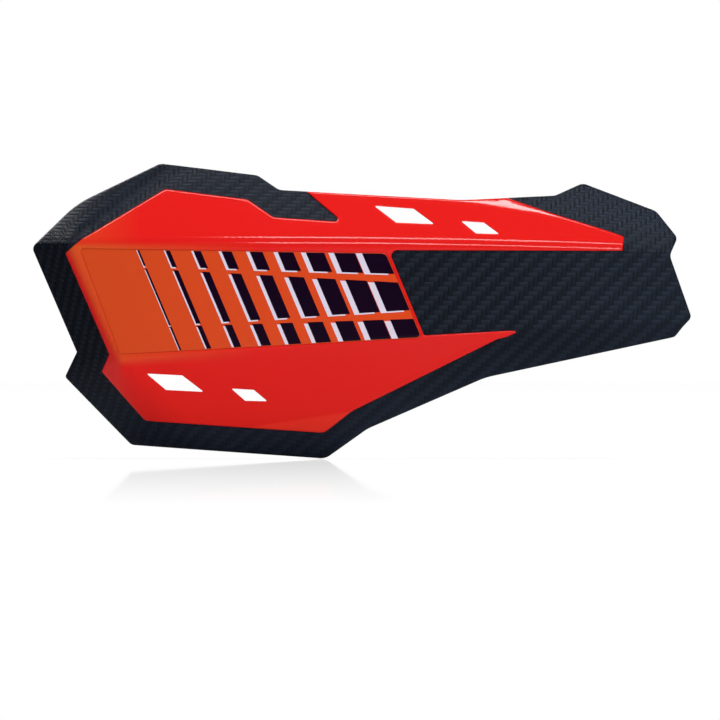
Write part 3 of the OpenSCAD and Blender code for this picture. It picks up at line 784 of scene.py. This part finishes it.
upper_edge = print_edge(upper_left, upper_right, -1)
lower_edge = print_edge(lower_left, lower_right, 1)
_, upper_corner, lower_corner, _ = corner_facts(STICKER_CORNERS, PRINT_MARGIN)
LAST_END = foot_of(lower_right) - PRINT_MARGIN
side_end = foot_of(upper_right) - PRINT_MARGIN * math.hypot(1.0, SLANT)
print("The print ends at", round(LAST_END, 2), "with a slant of", round(SLANT, 3))

# %% A tree for one run of slanted bars
BAR_INPUTS = {
    "Bars": 9, "Pitch": 10.35, "First width": 1.1, "Last width": 11.4, "Least edge": 0.1, "Edge share": 0.201,
    "Drop": 0.5, "Face depth": STICKER_FACE, "Thickness": 0.08,
    "Upper at first": 0.0, "Upper at last": 0.0, "Lower at first": 0.0, "Lower at last": 0.0,
    "Start in edges": 0.0, "End in edges": 0.0, "End in widths": 1.0,
    "High on upper": 1.0, "High drops": 0.0, "Low drops": 0.0,
}
bars_tree, given, result = new_tree(
    "Slanted bars",
    [(name, "NodeSocketInt" if name == "Bars" else FLOAT, value) for name, value in BAR_INPUTS.items()]
    + [("Material", MATERIAL, None)],
    GEOMETRY_OUT,
)
g = {name: Wire(bars_tree, given.outputs[name]) for name in BAR_INPUTS}
cell = add(bars_tree, "GeometryNodeMeshCube", {"Vertices X": 9, "Vertices Y": 2, "Vertices Z": 25})
line = add(bars_tree, "GeometryNodeMeshLine", {"Count": g["Bars"], "Offset": (0.0, 0.0, 0.0)})
numbered = add(bars_tree, "GeometryNodeStoreNamedAttribute", {
    "Geometry": line, "Name": "bar", "Value": add(bars_tree, "GeometryNodeInputIndex"),
}, data_type="FLOAT", domain="POINT")
copies = add(bars_tree, "GeometryNodeInstanceOnPoints", {"Points": numbered, "Instance": cell})
real = add(bars_tree, "GeometryNodeRealizeInstances", {"Geometry": copies})
bar = wire(bars_tree, "GeometryNodeInputNamedAttribute", {"Name": "bar"}, data_type="FLOAT")
# u, w and v run from 0 to 1 along the bar, through its thickness and up it.
u, w, v = (part + 0.5 for part in split(bars_tree, add(bars_tree, "GeometryNodeInputPosition")))

# %% Place, width and height of each point
LEAST_BAR = 0.05
width = g["First width"] + (g["Last width"] - g["First width"]) * bar / (g["Bars"] - 1.0)
edge = g["Least edge"] + width * g["Edge share"]
foot = LAST_END - g["Last width"] - (g["Bars"] - 1.0 - bar) * g["Pitch"]
start = edge * g["Start in edges"]
end = most(edge * g["End in edges"] + width * g["End in widths"], start + LEAST_BAR)
at = foot + start + (end - start) * u
way = 1.0 - (LAST_END - g["Last width"] - at) / ((g["Bars"] - 1.0) * g["Pitch"])
upper = g["Upper at first"] + (g["Upper at last"] - g["Upper at first"]) * way
lower = g["Lower at first"] + (g["Lower at last"] - g["Lower at first"]) * way
high = lower + (upper - lower) * g["High on upper"] - g["Drop"] * g["High drops"]
high = least(high, at * upper_edge[1] + upper_edge[0])
low = most(lower - g["Drop"] * g["Low drops"], at * lower_edge[1] + lower_edge[0])
height = low + (high - low) * v


# %% The bars are trimmed, laid on the surface and coated
def side_at(height):
    """How far along the print reaches at a height: its slanted side, and the two rounded corners."""
    reach = height * SLANT + side_end
    for corner, end, operation in ((upper_corner, 1, "GREATER_THAN"), (lower_corner, 0, "LESS_THAN")):
        meets, middle = arc_of(corner)[end].y, arc_of(corner)[2]
        rise = height - middle.y
        arc = most(corner.radius * corner.radius - rise * rise, 0.0).maths("SQRT") + middle.x
        reach = reach + (arc - reach) * height.maths(operation, meets)
    return reach


along = least(at + height * SLANT, side_at(height))
below = g["Face depth"] - g["Thickness"] * (1.0 - w)
depth = on_surface(bars_tree, along, height, below)[0]
laid = add(bars_tree, "GeometryNodeSetPosition", {
    "Geometry": real, "Position": joined(bars_tree, along, depth, height)})
feed(bars_tree, result.inputs[0], add(bars_tree, "GeometryNodeSetMaterial", {
    "Geometry": laid, "Material": given.outputs["Material"]}))
print("Nodes in the tree of bars:", len(bars_tree.nodes))


def one_piece(name, parts):
    """Joins parts into one piece."""
    work = bmesh.new()
    for part in parts:
        work.from_mesh(part.data)
    materials = list(parts[0].data.materials)
    for part in parts:
        bpy.data.objects.remove(part)
    piece = empty_piece(name)
    work.to_mesh(piece.data)
    work.free()
    for material in materials:
        piece.data.materials.append(material)
    return piece


# %% [markdown]
# ## Finishes
# Every finish is built from nodes, so that it holds up close and can be baked. The frame's moulded surface
# imitates a twill weave: broad bands run over two and under two, each row one step further. The pattern reads
# the distances along the surface that the folding rule gives, so it stays square on the leaning faces. The
# relief is a bump of a sixth of a millimetre, because a real mould's texture is no deeper. The back of the
# shell is plain, as a mould's inner half is, so the weave fades away there.
# %% Where the drawing's middle lies
MIDDLE = (-78.0, -84.0, -10.0)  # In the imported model's frame, in millimetres.


# %% Helpers for materials
def material(name, **values):
    """A material with its shader's own sockets set by name, underscores for spaces."""
    made = bpy.data.materials.new(name)
    made.use_nodes = True
    shader = made.node_tree.nodes["Principled BSDF"]
    for key, value in values.items():
        shader.inputs[key.replace("_", " ")].default_value = value
    return made, made.node_tree, shader


def noise(tree, vector, scale, detail=3.0, rough=0.5):
    values = {"Vector": vector, "Scale": scale, "Detail": detail, "Roughness": rough}
    return wire(tree, "ShaderNodeTexNoise", values)


def object_place(tree):
    return wire(tree, "ShaderNodeTexCoord", output="Object")


def drawn_place(tree, place):
    """Where a point lies in the flat drawing: millimetres along and upwards."""
    along, _, upwards = split(tree, place)
    return along * 1000.0 - MIDDLE[0], upwards * 1000.0 - MIDDLE[2]


def mixed(tree, factor, first, second):
    """A colour between two, each a wire or a plain colour."""
    first, second = (c if isinstance(c, Wire) else (*c, 1.0) for c in (first, second))
    return wire(tree, "ShaderNodeMix", {0: factor, 6: first, 7: second}, 2, data_type="RGBA")


def bumped(tree, shader, height, distance, strength=1.0):
    bump = add(tree, "ShaderNodeBump", {"Height": height, "Distance": distance, "Strength": strength})
    feed(tree, shader.inputs["Normal"], bump)


# %% Woven black
BAND, REPEAT = 1.8, 4.0  # Width of a band in millimetres, and bands until the pattern repeats.
woven, tree, shader = material("woven_black", Roughness=0.42, Specular_IOR_Level=0.15)
across, upwards, face = split(tree, add(tree, "ShaderNodeAttribute", attribute_name="weave").outputs["Vector"])
a, b = across / BAND, upwards / BAND
column, row = a.maths("FLOOR"), b.maths("FLOOR")
over = (column - row).maths("FLOORED_MODULO", REPEAT).maths("LESS_THAN", 1.5)


def float_shape(way, side):
    """Height of one band: rounded from side to side, and dipping where it goes under."""
    crown = 1.0 - (side * 2.0 - 1.0).maths("ABSOLUTE").maths("POWER", 2.5)
    arch = sine(way * math.pi).maths("POWER", 0.4)
    return crown * 0.45 + crown * arch * 0.55


weft = float_shape((a - row).maths("FLOORED_MODULO", REPEAT) / 2.0 * over, b - row)
warp = float_shape((b - column - 1.0).maths("FLOORED_MODULO", REPEAT) / 2.0 * (1.0 - over), a - column)
relief = (weft * over + warp * (1.0 - over)) * face
grain = noise(tree, object_place(tree), 2600.0, 2.0)
cloud = noise(tree, object_place(tree), 55.0, 2.0)
# Painted light: the inner end, the lower and upper faces and the back are painted a little paler, in place of
# light that the lamps don't bring there.
painted_light = (between(across, 30.0, 110.0) * 0.3 + between(upwards * -1.0, 15.0, 45.0) * 0.6
         + between(upwards, 28.0, 40.0) * 0.18 + (1.0 - face) * 0.5)
shade = between(painted_light + over * face * 0.42 + relief * 0.2 + cloud * 0.3, 0.26, 1.3)
feed(tree, shader.inputs["Base Color"], mixed(tree, shade, (0.0038, 0.0068, 0.0135), (0.0140, 0.0222, 0.0410)))
feed(tree, shader.inputs["Roughness"], 0.5 - relief * 0.12 + grain * 0.1)
bumped(tree, shader, relief + grain * 0.06, 0.00016)
print("Woven black:", len(tree.nodes), "nodes")

# %% [markdown]
# The cover is pigmented plastic under a clear gloss, in one red. Painted light makes its colour uneven: the
# front face around the sticker and the upper corner at the outer end lean towards orange as a painted
# reflection, and the lower faces are painted brighter, the lowest facet most. Each of these zones ends at a
# line of the drawing, so they are sums of a point's place. A faint unevenness in the gloss, as every moulding
# has, keeps the highlights from looking machined.
# %% Glossy red
red_gloss, tree, shader = material(
    "glossy_red", Roughness=0.12, Specular_IOR_Level=0.35, Coat_Weight=0.2, Coat_Roughness=0.04)
place = object_place(tree)
x, z = drawn_place(tree, place)
# Painted reflection: an orange tint on the front face at the outer end and on the upper corner there.
front = between(26.0 - z, 0.0, 2.0) * between(z + 17.0 - x * 0.05, 0.0, 3.0)
outer = 1.0 - between(x, -104.0, -40.0)
outer_top_painted_reflection = (1.0 - between(x, -104.0, -84.0)) * between(z, 20.0, 28.0)
before_fold = between(x - z * SIZES["End fold slant"] - SIZES["End fold place"], -1.5, 0.5)
orange = least(front * outer * before_fold * 0.9 + outer_top_painted_reflection * 0.4, 1.0)
# Painted light: the red turns brighter towards the bottom, and brightest on the lowest facet.
red = mixed(tree, between(-12.0 - z, 0.0, 30.0), (0.81, 0.012, 0.010), (0.90, 0.017, 0.012))
red = mixed(tree, between(bottom_line(x) - z, 0.0, 1.0), red, (0.97, 0.036, 0.018))
red_with_painted_light = mixed(tree, orange, red, (0.72, 0.085, 0.018))
cloud = noise(tree, place, 14.0, 2.0)
feed(tree, shader.inputs["Base Color"], mixed(tree, cloud * 0.12, red_with_painted_light, (0.55, 0.012, 0.012)))
feed(tree, shader.inputs["Roughness"], noise(tree, place, 300.0, 3.0) * 0.06 + 0.08)
bumped(tree, shader, noise(tree, place, 90.0, 2.0), 0.00003, 0.12)
print("Glossy red:", len(tree.nodes), "nodes")

# %% [markdown]
# The sticker is a glossy orange film, a little yellower towards the outer end, and its two inks lie on it as
# screened coats. A flat colour would look like paper, so each gets the ripple of film in its bump and the ink
# a fine mottle in its colour.
# %% Sticker film and print
film, tree, shader = material("orange_film", Roughness=0.15, Specular_IOR_Level=0.35)
place = object_place(tree)
inwards = between(drawn_place(tree, place)[0], -100.0, 20.0)
feed(tree, shader.inputs["Base Color"], mixed(tree, inwards, (0.68, 0.070, 0.013), (0.76, 0.068, 0.012)))
feed(tree, shader.inputs["Roughness"], noise(tree, place, 500.0, 3.0) * 0.06 + 0.1)
bumped(tree, shader, noise(tree, place, 110.0, 2.0), 0.00002, 0.4)


def ink(name, dark, light, rough):
    """Printed ink: nearly even, with the fine mottle of a screened coat."""
    made, tree, shader = material(name, Specular_IOR_Level=0.3)
    place = object_place(tree)
    feed(tree, shader.inputs["Base Color"], mixed(tree, noise(tree, place, 900.0, 4.0), dark, light))
    feed(tree, shader.inputs["Roughness"], noise(tree, place, 350.0, 3.0) * 0.06 + rough)
    bumped(tree, shader, noise(tree, place, 110.0, 2.0), 0.00002, 0.3)
    return made


plum_ink = ink("plum_ink", (0.0055, 0.0004, 0.008), (0.0085, 0.0008, 0.0125), 0.08)
pale_ink = ink("pale_ink", (0.70, 0.64, 0.78), (0.78, 0.73, 0.86), 0.14)


# %% [markdown]
# The arm and the clamp are black nylon with a fine eroded grain, and the sleeve between clamp and handlebar is
# a softer black plastic. The screws, nuts, washers and bushes are zinc plated and the inserts are turned brass.
# Two recipes with different values make all four: a grain with faint clouds, and a metal with small stains.
# %% Nylon, sleeve plastic, steel and brass
def moulded(name, dark, light, rough, grain_scale, depth):
    """Moulded plastic: a fine eroded grain, faint flow clouds and slightly polished high spots."""
    made, tree, shader = material(name, Specular_IOR_Level=0.35)
    place = object_place(tree)
    grain = noise(tree, place, grain_scale, 4.0, 0.6)
    flow = noise(tree, place, 30.0, 2.0)
    feed(tree, shader.inputs["Base Color"], mixed(tree, flow * 0.6 + grain * 0.4, dark, light))
    feed(tree, shader.inputs["Roughness"], rough + flow * 0.1 - grain * 0.12)
    bumped(tree, shader, grain, depth, 0.8)
    return made


def metal(name, dark, light, rough):
    """Plated or turned metal: tool marks, small stains and an uneven polish."""
    made, tree, shader = material(name, Metallic=1.0)
    place = object_place(tree)
    stain = noise(tree, place, 140.0, 4.0, 0.6)
    fine = noise(tree, place, 1800.0, 2.0)
    feed(tree, shader.inputs["Base Color"], mixed(tree, stain, dark, light))
    feed(tree, shader.inputs["Roughness"], stain * 0.16 + fine * 0.08 + rough)
    bumped(tree, shader, fine + stain * 0.5, 0.00003, 0.5)
    return made


nylon = moulded("black_nylon", (0.012, 0.013, 0.015), (0.024, 0.025, 0.027), 0.55, 1500.0, 0.00006)
sleeve_plastic = moulded("sleeve_black", (0.007, 0.007, 0.008), (0.014, 0.014, 0.015), 0.7, 900.0, 0.00004)
zinc = metal("zinc_plate", (0.50, 0.50, 0.51), (0.68, 0.69, 0.70), 0.22)
brass = metal("turned_brass", (0.62, 0.42, 0.16), (0.78, 0.58, 0.27), 0.22)
print("Materials:", len(bpy.data.materials))

# %% [markdown]
# ## From the flat drawing to the machine
# The pieces so far are in millimetres, measured from the shield's own middle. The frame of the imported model
# has its origin on the handlebar and is in metres. One last tree stores where each point lies along the
# surface, for the weave, and how near it is to the face. The piece is then moved over.
# %% The tree for the weave
weave_tree, given, result = new_tree("Weave lines", GEOMETRY_IN, GEOMETRY_OUT)
x, y, z = split(weave_tree, add(weave_tree, "GeometryNodeInputPosition"))
face_depth, across, upwards = on_surface(weave_tree, x, z, FACE_STEP)
# 1 on the face and 0 from 1.5 mm behind it, where the weave has faded away.
face = least(most(face_depth - y + 1.5, 0.0), 1.0)
# Above the ridge the end's fold has run out, so the plain place along the handlebar takes over.
across = across + (x - across) * between(z, 27.0, 32.0)
feed(weave_tree, result.inputs[0], add(weave_tree, "GeometryNodeStoreNamedAttribute", {
    "Geometry": given, "Name": "weave", "Value": joined(weave_tree, across, upwards, face),
}, data_type="FLOAT_VECTOR", domain="POINT"))

# %% Placing a piece
MOVE = Matrix.Translation([v / 1000 for v in MIDDLE]) @ Matrix.Diagonal((0.001, 0.001, 0.001, 1.0))
SHARP = math.radians(32)


def placed(piece):
    piece.data.transform(MOVE)
    return piece


def finished(piece, finish, node):
    """Gives a piece its finish, smooth faces with sharp edges and a body, and hides the CAD node it stands for.
    """
    if finish is not None:
        piece.data.materials.clear()
        piece.data.materials.append(finish)
    piece.data.shade_smooth()
    piece.data.set_sharp_from_angle(angle=SHARP)
    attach(piece, "root")
    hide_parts(node)
    print(f"{piece.name}: {len(piece.data.polygons)} faces")


# %% Frame, cover and sticker
through_tree(shell, weave_tree)
finished(placed(shell), woven, "shield_frame")
finished(placed(cover), red_gloss, "cover")
finished(placed(sticker), film, "sticker")

# %% [markdown]
# Each row of the print is a few runs of the tree of bars. The dark bars are one run a row. The pale ink is one
# run for the strips beside the bars and, in the upper two rows, one more for the strips below them.
# %% Print
# Height of a row's upper edge at its first and last bar, and of its lower edge.
ROWS = [(26, 24, 16.8, 14.2), (15.9, 11.2, -5.8, -0.6), (-6.2, -3.6, -18, -14)]
EDGES = ("upper_at_first", "upper_at_last", "lower_at_first", "lower_at_last")


def run_of_bars(finish, row, **inputs):
    heights = dict(zip(EDGES, map(float, row)))
    return through_tree(empty_piece("run"), bars_tree, material=finish, **heights, **inputs)


beside = dict(end_in_edges=1.0, end_in_widths=0.0, high_drops=1.0, low_drops=1.0)
under = dict(start_in_edges=1.0, end_in_edges=-1.0, high_on_upper=0.0, low_drops=1.0)
dark_runs = [run_of_bars(plum_ink, row, start_in_edges=1.0) for row in ROWS]
pale_runs = [run_of_bars(pale_ink, row, **beside) for row in ROWS]
pale_runs += [run_of_bars(pale_ink, row, **under) for row in ROWS[:2]]
finished(placed(one_piece("dark_bars", dark_runs)), None, "print_dark")
finished(placed(one_piece("pale_bars", pale_runs)), None, "print_pale")

# %% [markdown]
# ## Hardware
# The arm, its clamp and the fasteners are right as solids, but a CAD edge is razor sharp and no real edge is.
# Modelling them again would only repeat the CAD. So a copy of each node is merged, its flat faces are made
# whole, and a small bevel follows every sharp edge.
# %% Softened copies of the CAD nodes
def softened(node, finish, width, segments):
    """A copy of a CAD node with its sharp edges rounded over a width in millimetres."""
    work = bmesh.new()
    work.from_mesh(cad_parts[node].data)
    bmesh.ops.remove_doubles(work, verts=work.verts, dist=1e-6)
    bmesh.ops.dissolve_limit(work, angle_limit=math.radians(0.5), verts=work.verts, edges=work.edges)
    piece = empty_piece(node + "_finished")
    work.to_mesh(piece.data)
    work.free()
    bevel = piece.modifiers.new("soft edges", "BEVEL")
    bevel.width, bevel.segments, bevel.limit_method = width * 0.001, segments, "ANGLE"
    bevel.angle_limit, bevel.use_clamp_overlap = math.radians(35), True
    finished(made_plain(piece), finish, node)


STEEL_EDGES = {"outer_bush": 0.2, "inner_bush": 0.2, "outer_washer": 0.15, "inner_washer": 0.15,
               "outer_screw": 0.2, "inner_screw": 0.2, "upper_bolt": 0.25, "lower_bolt": 0.25,
               "upper_washer": 0.15, "lower_washer": 0.15, "upper_nut": 0.3, "lower_nut": 0.3}
for finish, slot, segments, edges in (
        (nylon, "moulded_black", 3, {"arm": 0.5, "clamp_cap": 0.5}),
        (sleeve_plastic, "sleeve_black", 2, {"bar_sleeve": 0.25}),
        (brass, "insert_brass", 2, {"outer_insert": 0.2, "inner_insert": 0.2}),
        (zinc, "zinc_steel", 2, STEEL_EDGES)):
    for node, width in edges.items():
        softened(node, finish, width, segments)


# %% [markdown]
# ## Small screws behind the shield
# Five equal screws with washers hold the cover. One screw is turned about its axis from a profile, as on a
# lathe, and a tree sets a copy on each tower, whose height it takes from the surface group.
# %% One screw and one washer
def turned(name, profile, count=40):
    """A closed profile of (radius, height) turned about Z."""
    points = [(r * math.cos(math.tau * k / count), r * math.sin(math.tau * k / count), h)
              for k in range(count) for r, h in profile]
    n = len(profile)
    faces = [(k * n + i, k * n + (i + 1) % n, (k + 1) % count * n + (i + 1) % n, (k + 1) % count * n + i)
             for k in range(count) for i in range(n)]
    piece = empty_piece(name)
    piece.data.from_pydata(points, [], faces)
    return outwards(piece)


small_screw = turned("small_screw", [
    (0.0, -6.0), (1.2, -6.0), (1.5, -5.7), (1.5, 0.0), (2.9, 0.8), (3.0, 1.0), (2.95, 1.6), (2.6, 2.25),
    (2.0, 2.6), (1.0, 2.78), (0.0, 2.8)])
socket = turned("socket", [(0.0, 1.5), (1.1, 1.5), (1.1, 4.0), (0.0, 4.0)], 6)
combined(small_screw, [socket], "DIFFERENCE")
small_washer = turned("small_washer", [
    (1.7, 0.0), (4.4, 0.0), (4.5, 0.1), (4.5, 0.7), (4.4, 0.8), (1.8, 0.8), (1.7, 0.7)])

# %% The tree that sets them on the towers
towers_tree, given, result = new_tree(
    "Screws on towers",
    GEOMETRY_IN + [("Fastener", "NodeSocketObject", None), ("Wall", FLOAT, WALL),
                   ("Tower height", FLOAT, TOWER_STANDS), ("Material", MATERIAL, None)],
    GEOMETRY_OUT,
)
x, _, z = split(towers_tree, add(towers_tree, "GeometryNodeInputPosition"))
back = on_surface(towers_tree, x, z, given.outputs["Wall"])[0] + given.outputs["Tower height"]
seats = add(towers_tree, "GeometryNodeSetPosition", {
    "Geometry": given, "Position": joined(towers_tree, x, back, z)})
fastener = add(towers_tree, "GeometryNodeObjectInfo", {"Object": given.outputs["Fastener"]})
copies = add(towers_tree, "GeometryNodeInstanceOnPoints", {
    "Points": seats, "Instance": fastener.outputs["Geometry"], "Rotation": (-math.pi / 2, 0.0, 0.0)})
real = add(towers_tree, "GeometryNodeRealizeInstances", {"Geometry": copies})
feed(towers_tree, result.inputs[0], add(towers_tree, "GeometryNodeSetMaterial", {
    "Geometry": real, "Material": given.outputs["Material"]}))


def on_towers(name, fastener, node):
    piece = empty_piece(name)
    piece.data.from_pydata([(x, 0.0, z) for x, z in FIXINGS], [], [])
    through_tree(piece, towers_tree, fastener=fastener, material=zinc)
    bpy.data.objects.remove(fastener)
    finished(placed(piece), None, node)


on_towers("small_screws", small_screw, "cover_screws")
on_towers("small_washers", small_washer, "cover_washers")

# %% [markdown]
# ## Floor
# The picture is a plain studio shot on white: the guard stands on a glossy white ground that mirrors its foot
# faintly. The camera sees a white floor with the object's soft shadow. The mirror is mixed in by Fresnel, so
# it shows only at grazing angles and the view from above stays clean. The gloss of the guard itself must see a
# dark floor, or its black faces turn grey, so mirrored rays get another colour.
# %% A white ground that mirrors at grazing angles
FLOOR_HALF, FLOOR_Z = 40.0, cad_low.z - 0.0002
SHADOW_MIDDLE, SHADOW_NEAR, SHADOW_FAR = (-0.08, -0.03), 0.16, 0.45
floor_corners = [(i * FLOOR_HALF, j * FLOOR_HALF, FLOOR_Z) for i, j in ((-1, -1), (1, -1), (1, 1), (-1, 1))]
floor = empty_piece("floor")
floor.data.from_pydata(floor_corners, [], [(0, 1, 2, 3)])
floor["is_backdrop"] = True


def grey(tree, level):
    return joined(tree, level, level, level)


WHITE = (1.0, 1.0, 1.0, 1.0)
ground, tree, shader = material("white_ground", Roughness=0.5)
tree.nodes.remove(shader)
path = add(tree, "ShaderNodeLightPath")
x, y, _ = split(tree, object_place(tree))
seen_by_gloss = grey(tree, between(x, -0.3, -0.05) * 0.27 + 0.03)
matt = add(tree, "ShaderNodeBsdfDiffuse", {
    "Color": mixed(tree, path.outputs["Is Glossy Ray"], (0.9, 0.9, 0.9), seen_by_gloss)})
off_x, off_y = x - SHADOW_MIDDLE[0], y - SHADOW_MIDDLE[1]
near = 1.0 - between((off_x * off_x + off_y * off_y).maths("SQRT"), SHADOW_NEAR, SHADOW_FAR)
white = add(tree, "ShaderNodeEmission", {"Color": WHITE, "Strength": near * 0.1 + 1.0})
shaded = add(tree, "ShaderNodeBsdfDiffuse", {"Color": WHITE})
lit = add(tree, "ShaderNodeMixShader", {0: near * 0.5, 1: white, 2: shaded})
grazing = wire(tree, "ShaderNodeFresnel", {"IOR": 1.45})
shine = between(y, -3.85, -0.3) * grazing * grazing * 0.31
mirror = add(tree, "ShaderNodeBsdfGlossy", {"Color": WHITE, "Roughness": 0.015})
sheen = add(tree, "ShaderNodeMixShader", {0: shine, 1: lit, 2: mirror})
choice = add(tree, "ShaderNodeMixShader", {0: path.outputs["Is Camera Ray"], 1: matt, 2: sheen})
feed(tree, tree.nodes["Material Output"].inputs[0], choice)
floor.data.materials.append(ground)

# %% [markdown]
# ## Room, lamps and camera
# The room's light comes more from the guard's inner side than from its outer one, so the colours get darker
# towards the outer end. The camera sees the room white. In mirrors only what lies behind the guard is white,
# and the rest is dark, so the black faces stay black. Long soft lamps above draw thin bright lines along the
# ridges, and one behind lights the back. The camera stands far away with a long lens, because the picture
# shows no perspective.
# %% Room
world = bpy.data.worlds.new("studio")
bpy.context.scene.world = world
world.use_nodes = True
tree = world.node_tree
path = add(tree, "ShaderNodeLightPath")
way_side, way_back, _ = split(tree, add(tree, "ShaderNodeTexCoord").outputs["Generated"])
mirrors = most(Wire(tree, path.outputs["Is Glossy Ray"]), path.outputs["Is Transmission Ray"])
shows = most(Wire(tree, path.outputs["Is Camera Ray"]), mirrors * between(way_back, 0.92, 0.98))
room = tree.nodes["Background"]
room_light = grey(tree, way_side * 0.35 + 0.46)
feed(tree, room.inputs["Color"], mixed(tree, mirrors, room_light, (0.03, 0.03, 0.033)))
room.inputs["Strength"].default_value = 1.0
backdrop = add(tree, "ShaderNodeBackground", {"Color": WHITE, "Strength": 1.0})
choice = add(tree, "ShaderNodeMixShader", {0: shows, 1: room, 2: backdrop})
feed(tree, tree.nodes["World Output"].inputs[0], choice)

# %% Lamps
TARGET = Vector((-0.08, -0.07, -0.01))


def lamp(name, elevation, distance, power, long, wide, aside):
    """A long soft lamp over the shield. Elevation 0 is in front of it and 90 straight above."""
    e = math.radians(elevation)
    towards = Vector((0.0, -math.cos(e), math.sin(e)))
    light = bpy.data.lights.new(name, "AREA")
    light.shape, light.size, light.size_y, light.energy = "RECTANGLE", long, wide, power
    made = bpy.data.objects.new(name, light)
    made.location = TARGET + distance * towards + Vector((aside, 0.0, 0.0))
    made.rotation_euler = (-towards).to_track_quat("-Z", "Y").to_euler()
    bpy.context.scene.collection.objects.link(made)


lamp("front_strip", 28, 1.6, 6.0, 1.1, 0.17, 0.4)
lamp("high_strip", 62, 1.6, 6.2, 1.1, 0.18, 0.4)
lamp("top_strip", 101, 1.4, 7.5, 1.2, 0.18, -0.27)
lamp("rear_panel", 162, 1.6, 4.0, 1.2, 0.4, 0.0)
print("Lamps:", len(bpy.data.lights))

# %% Camera
IMAGE, PIXEL = 720, 0.38e-3  # Pixels across the picture, and metres to a pixel.
ORIGIN_PIXEL = (567.8, 284.1)
DISTANCE, SENSOR = 12.0, 36.0
view = bpy.data.cameras.new("camera")
view.sensor_width = SENSOR
view.lens = SENSOR * DISTANCE / (IMAGE * PIXEL)
view.clip_end = 100.0
camera = bpy.data.objects.new("camera", view)
aside, upwards = IMAGE / 2 - ORIGIN_PIXEL[0], ORIGIN_PIXEL[1] - IMAGE / 2
camera.location = (aside * PIXEL, -0.07 - DISTANCE, upwards * PIXEL)
camera.rotation_euler = (math.pi / 2, 0.0, 0.0)
bpy.context.scene.collection.objects.link(camera)
bpy.context.scene.camera = camera
bpy.context.scene.view_settings.view_transform = "Standard"
print("Lens in mm:", round(view.lens))

# %% Size
low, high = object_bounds()
print("Visual box in mm:", [round(v * 1000, 1) for v in (high - low)])
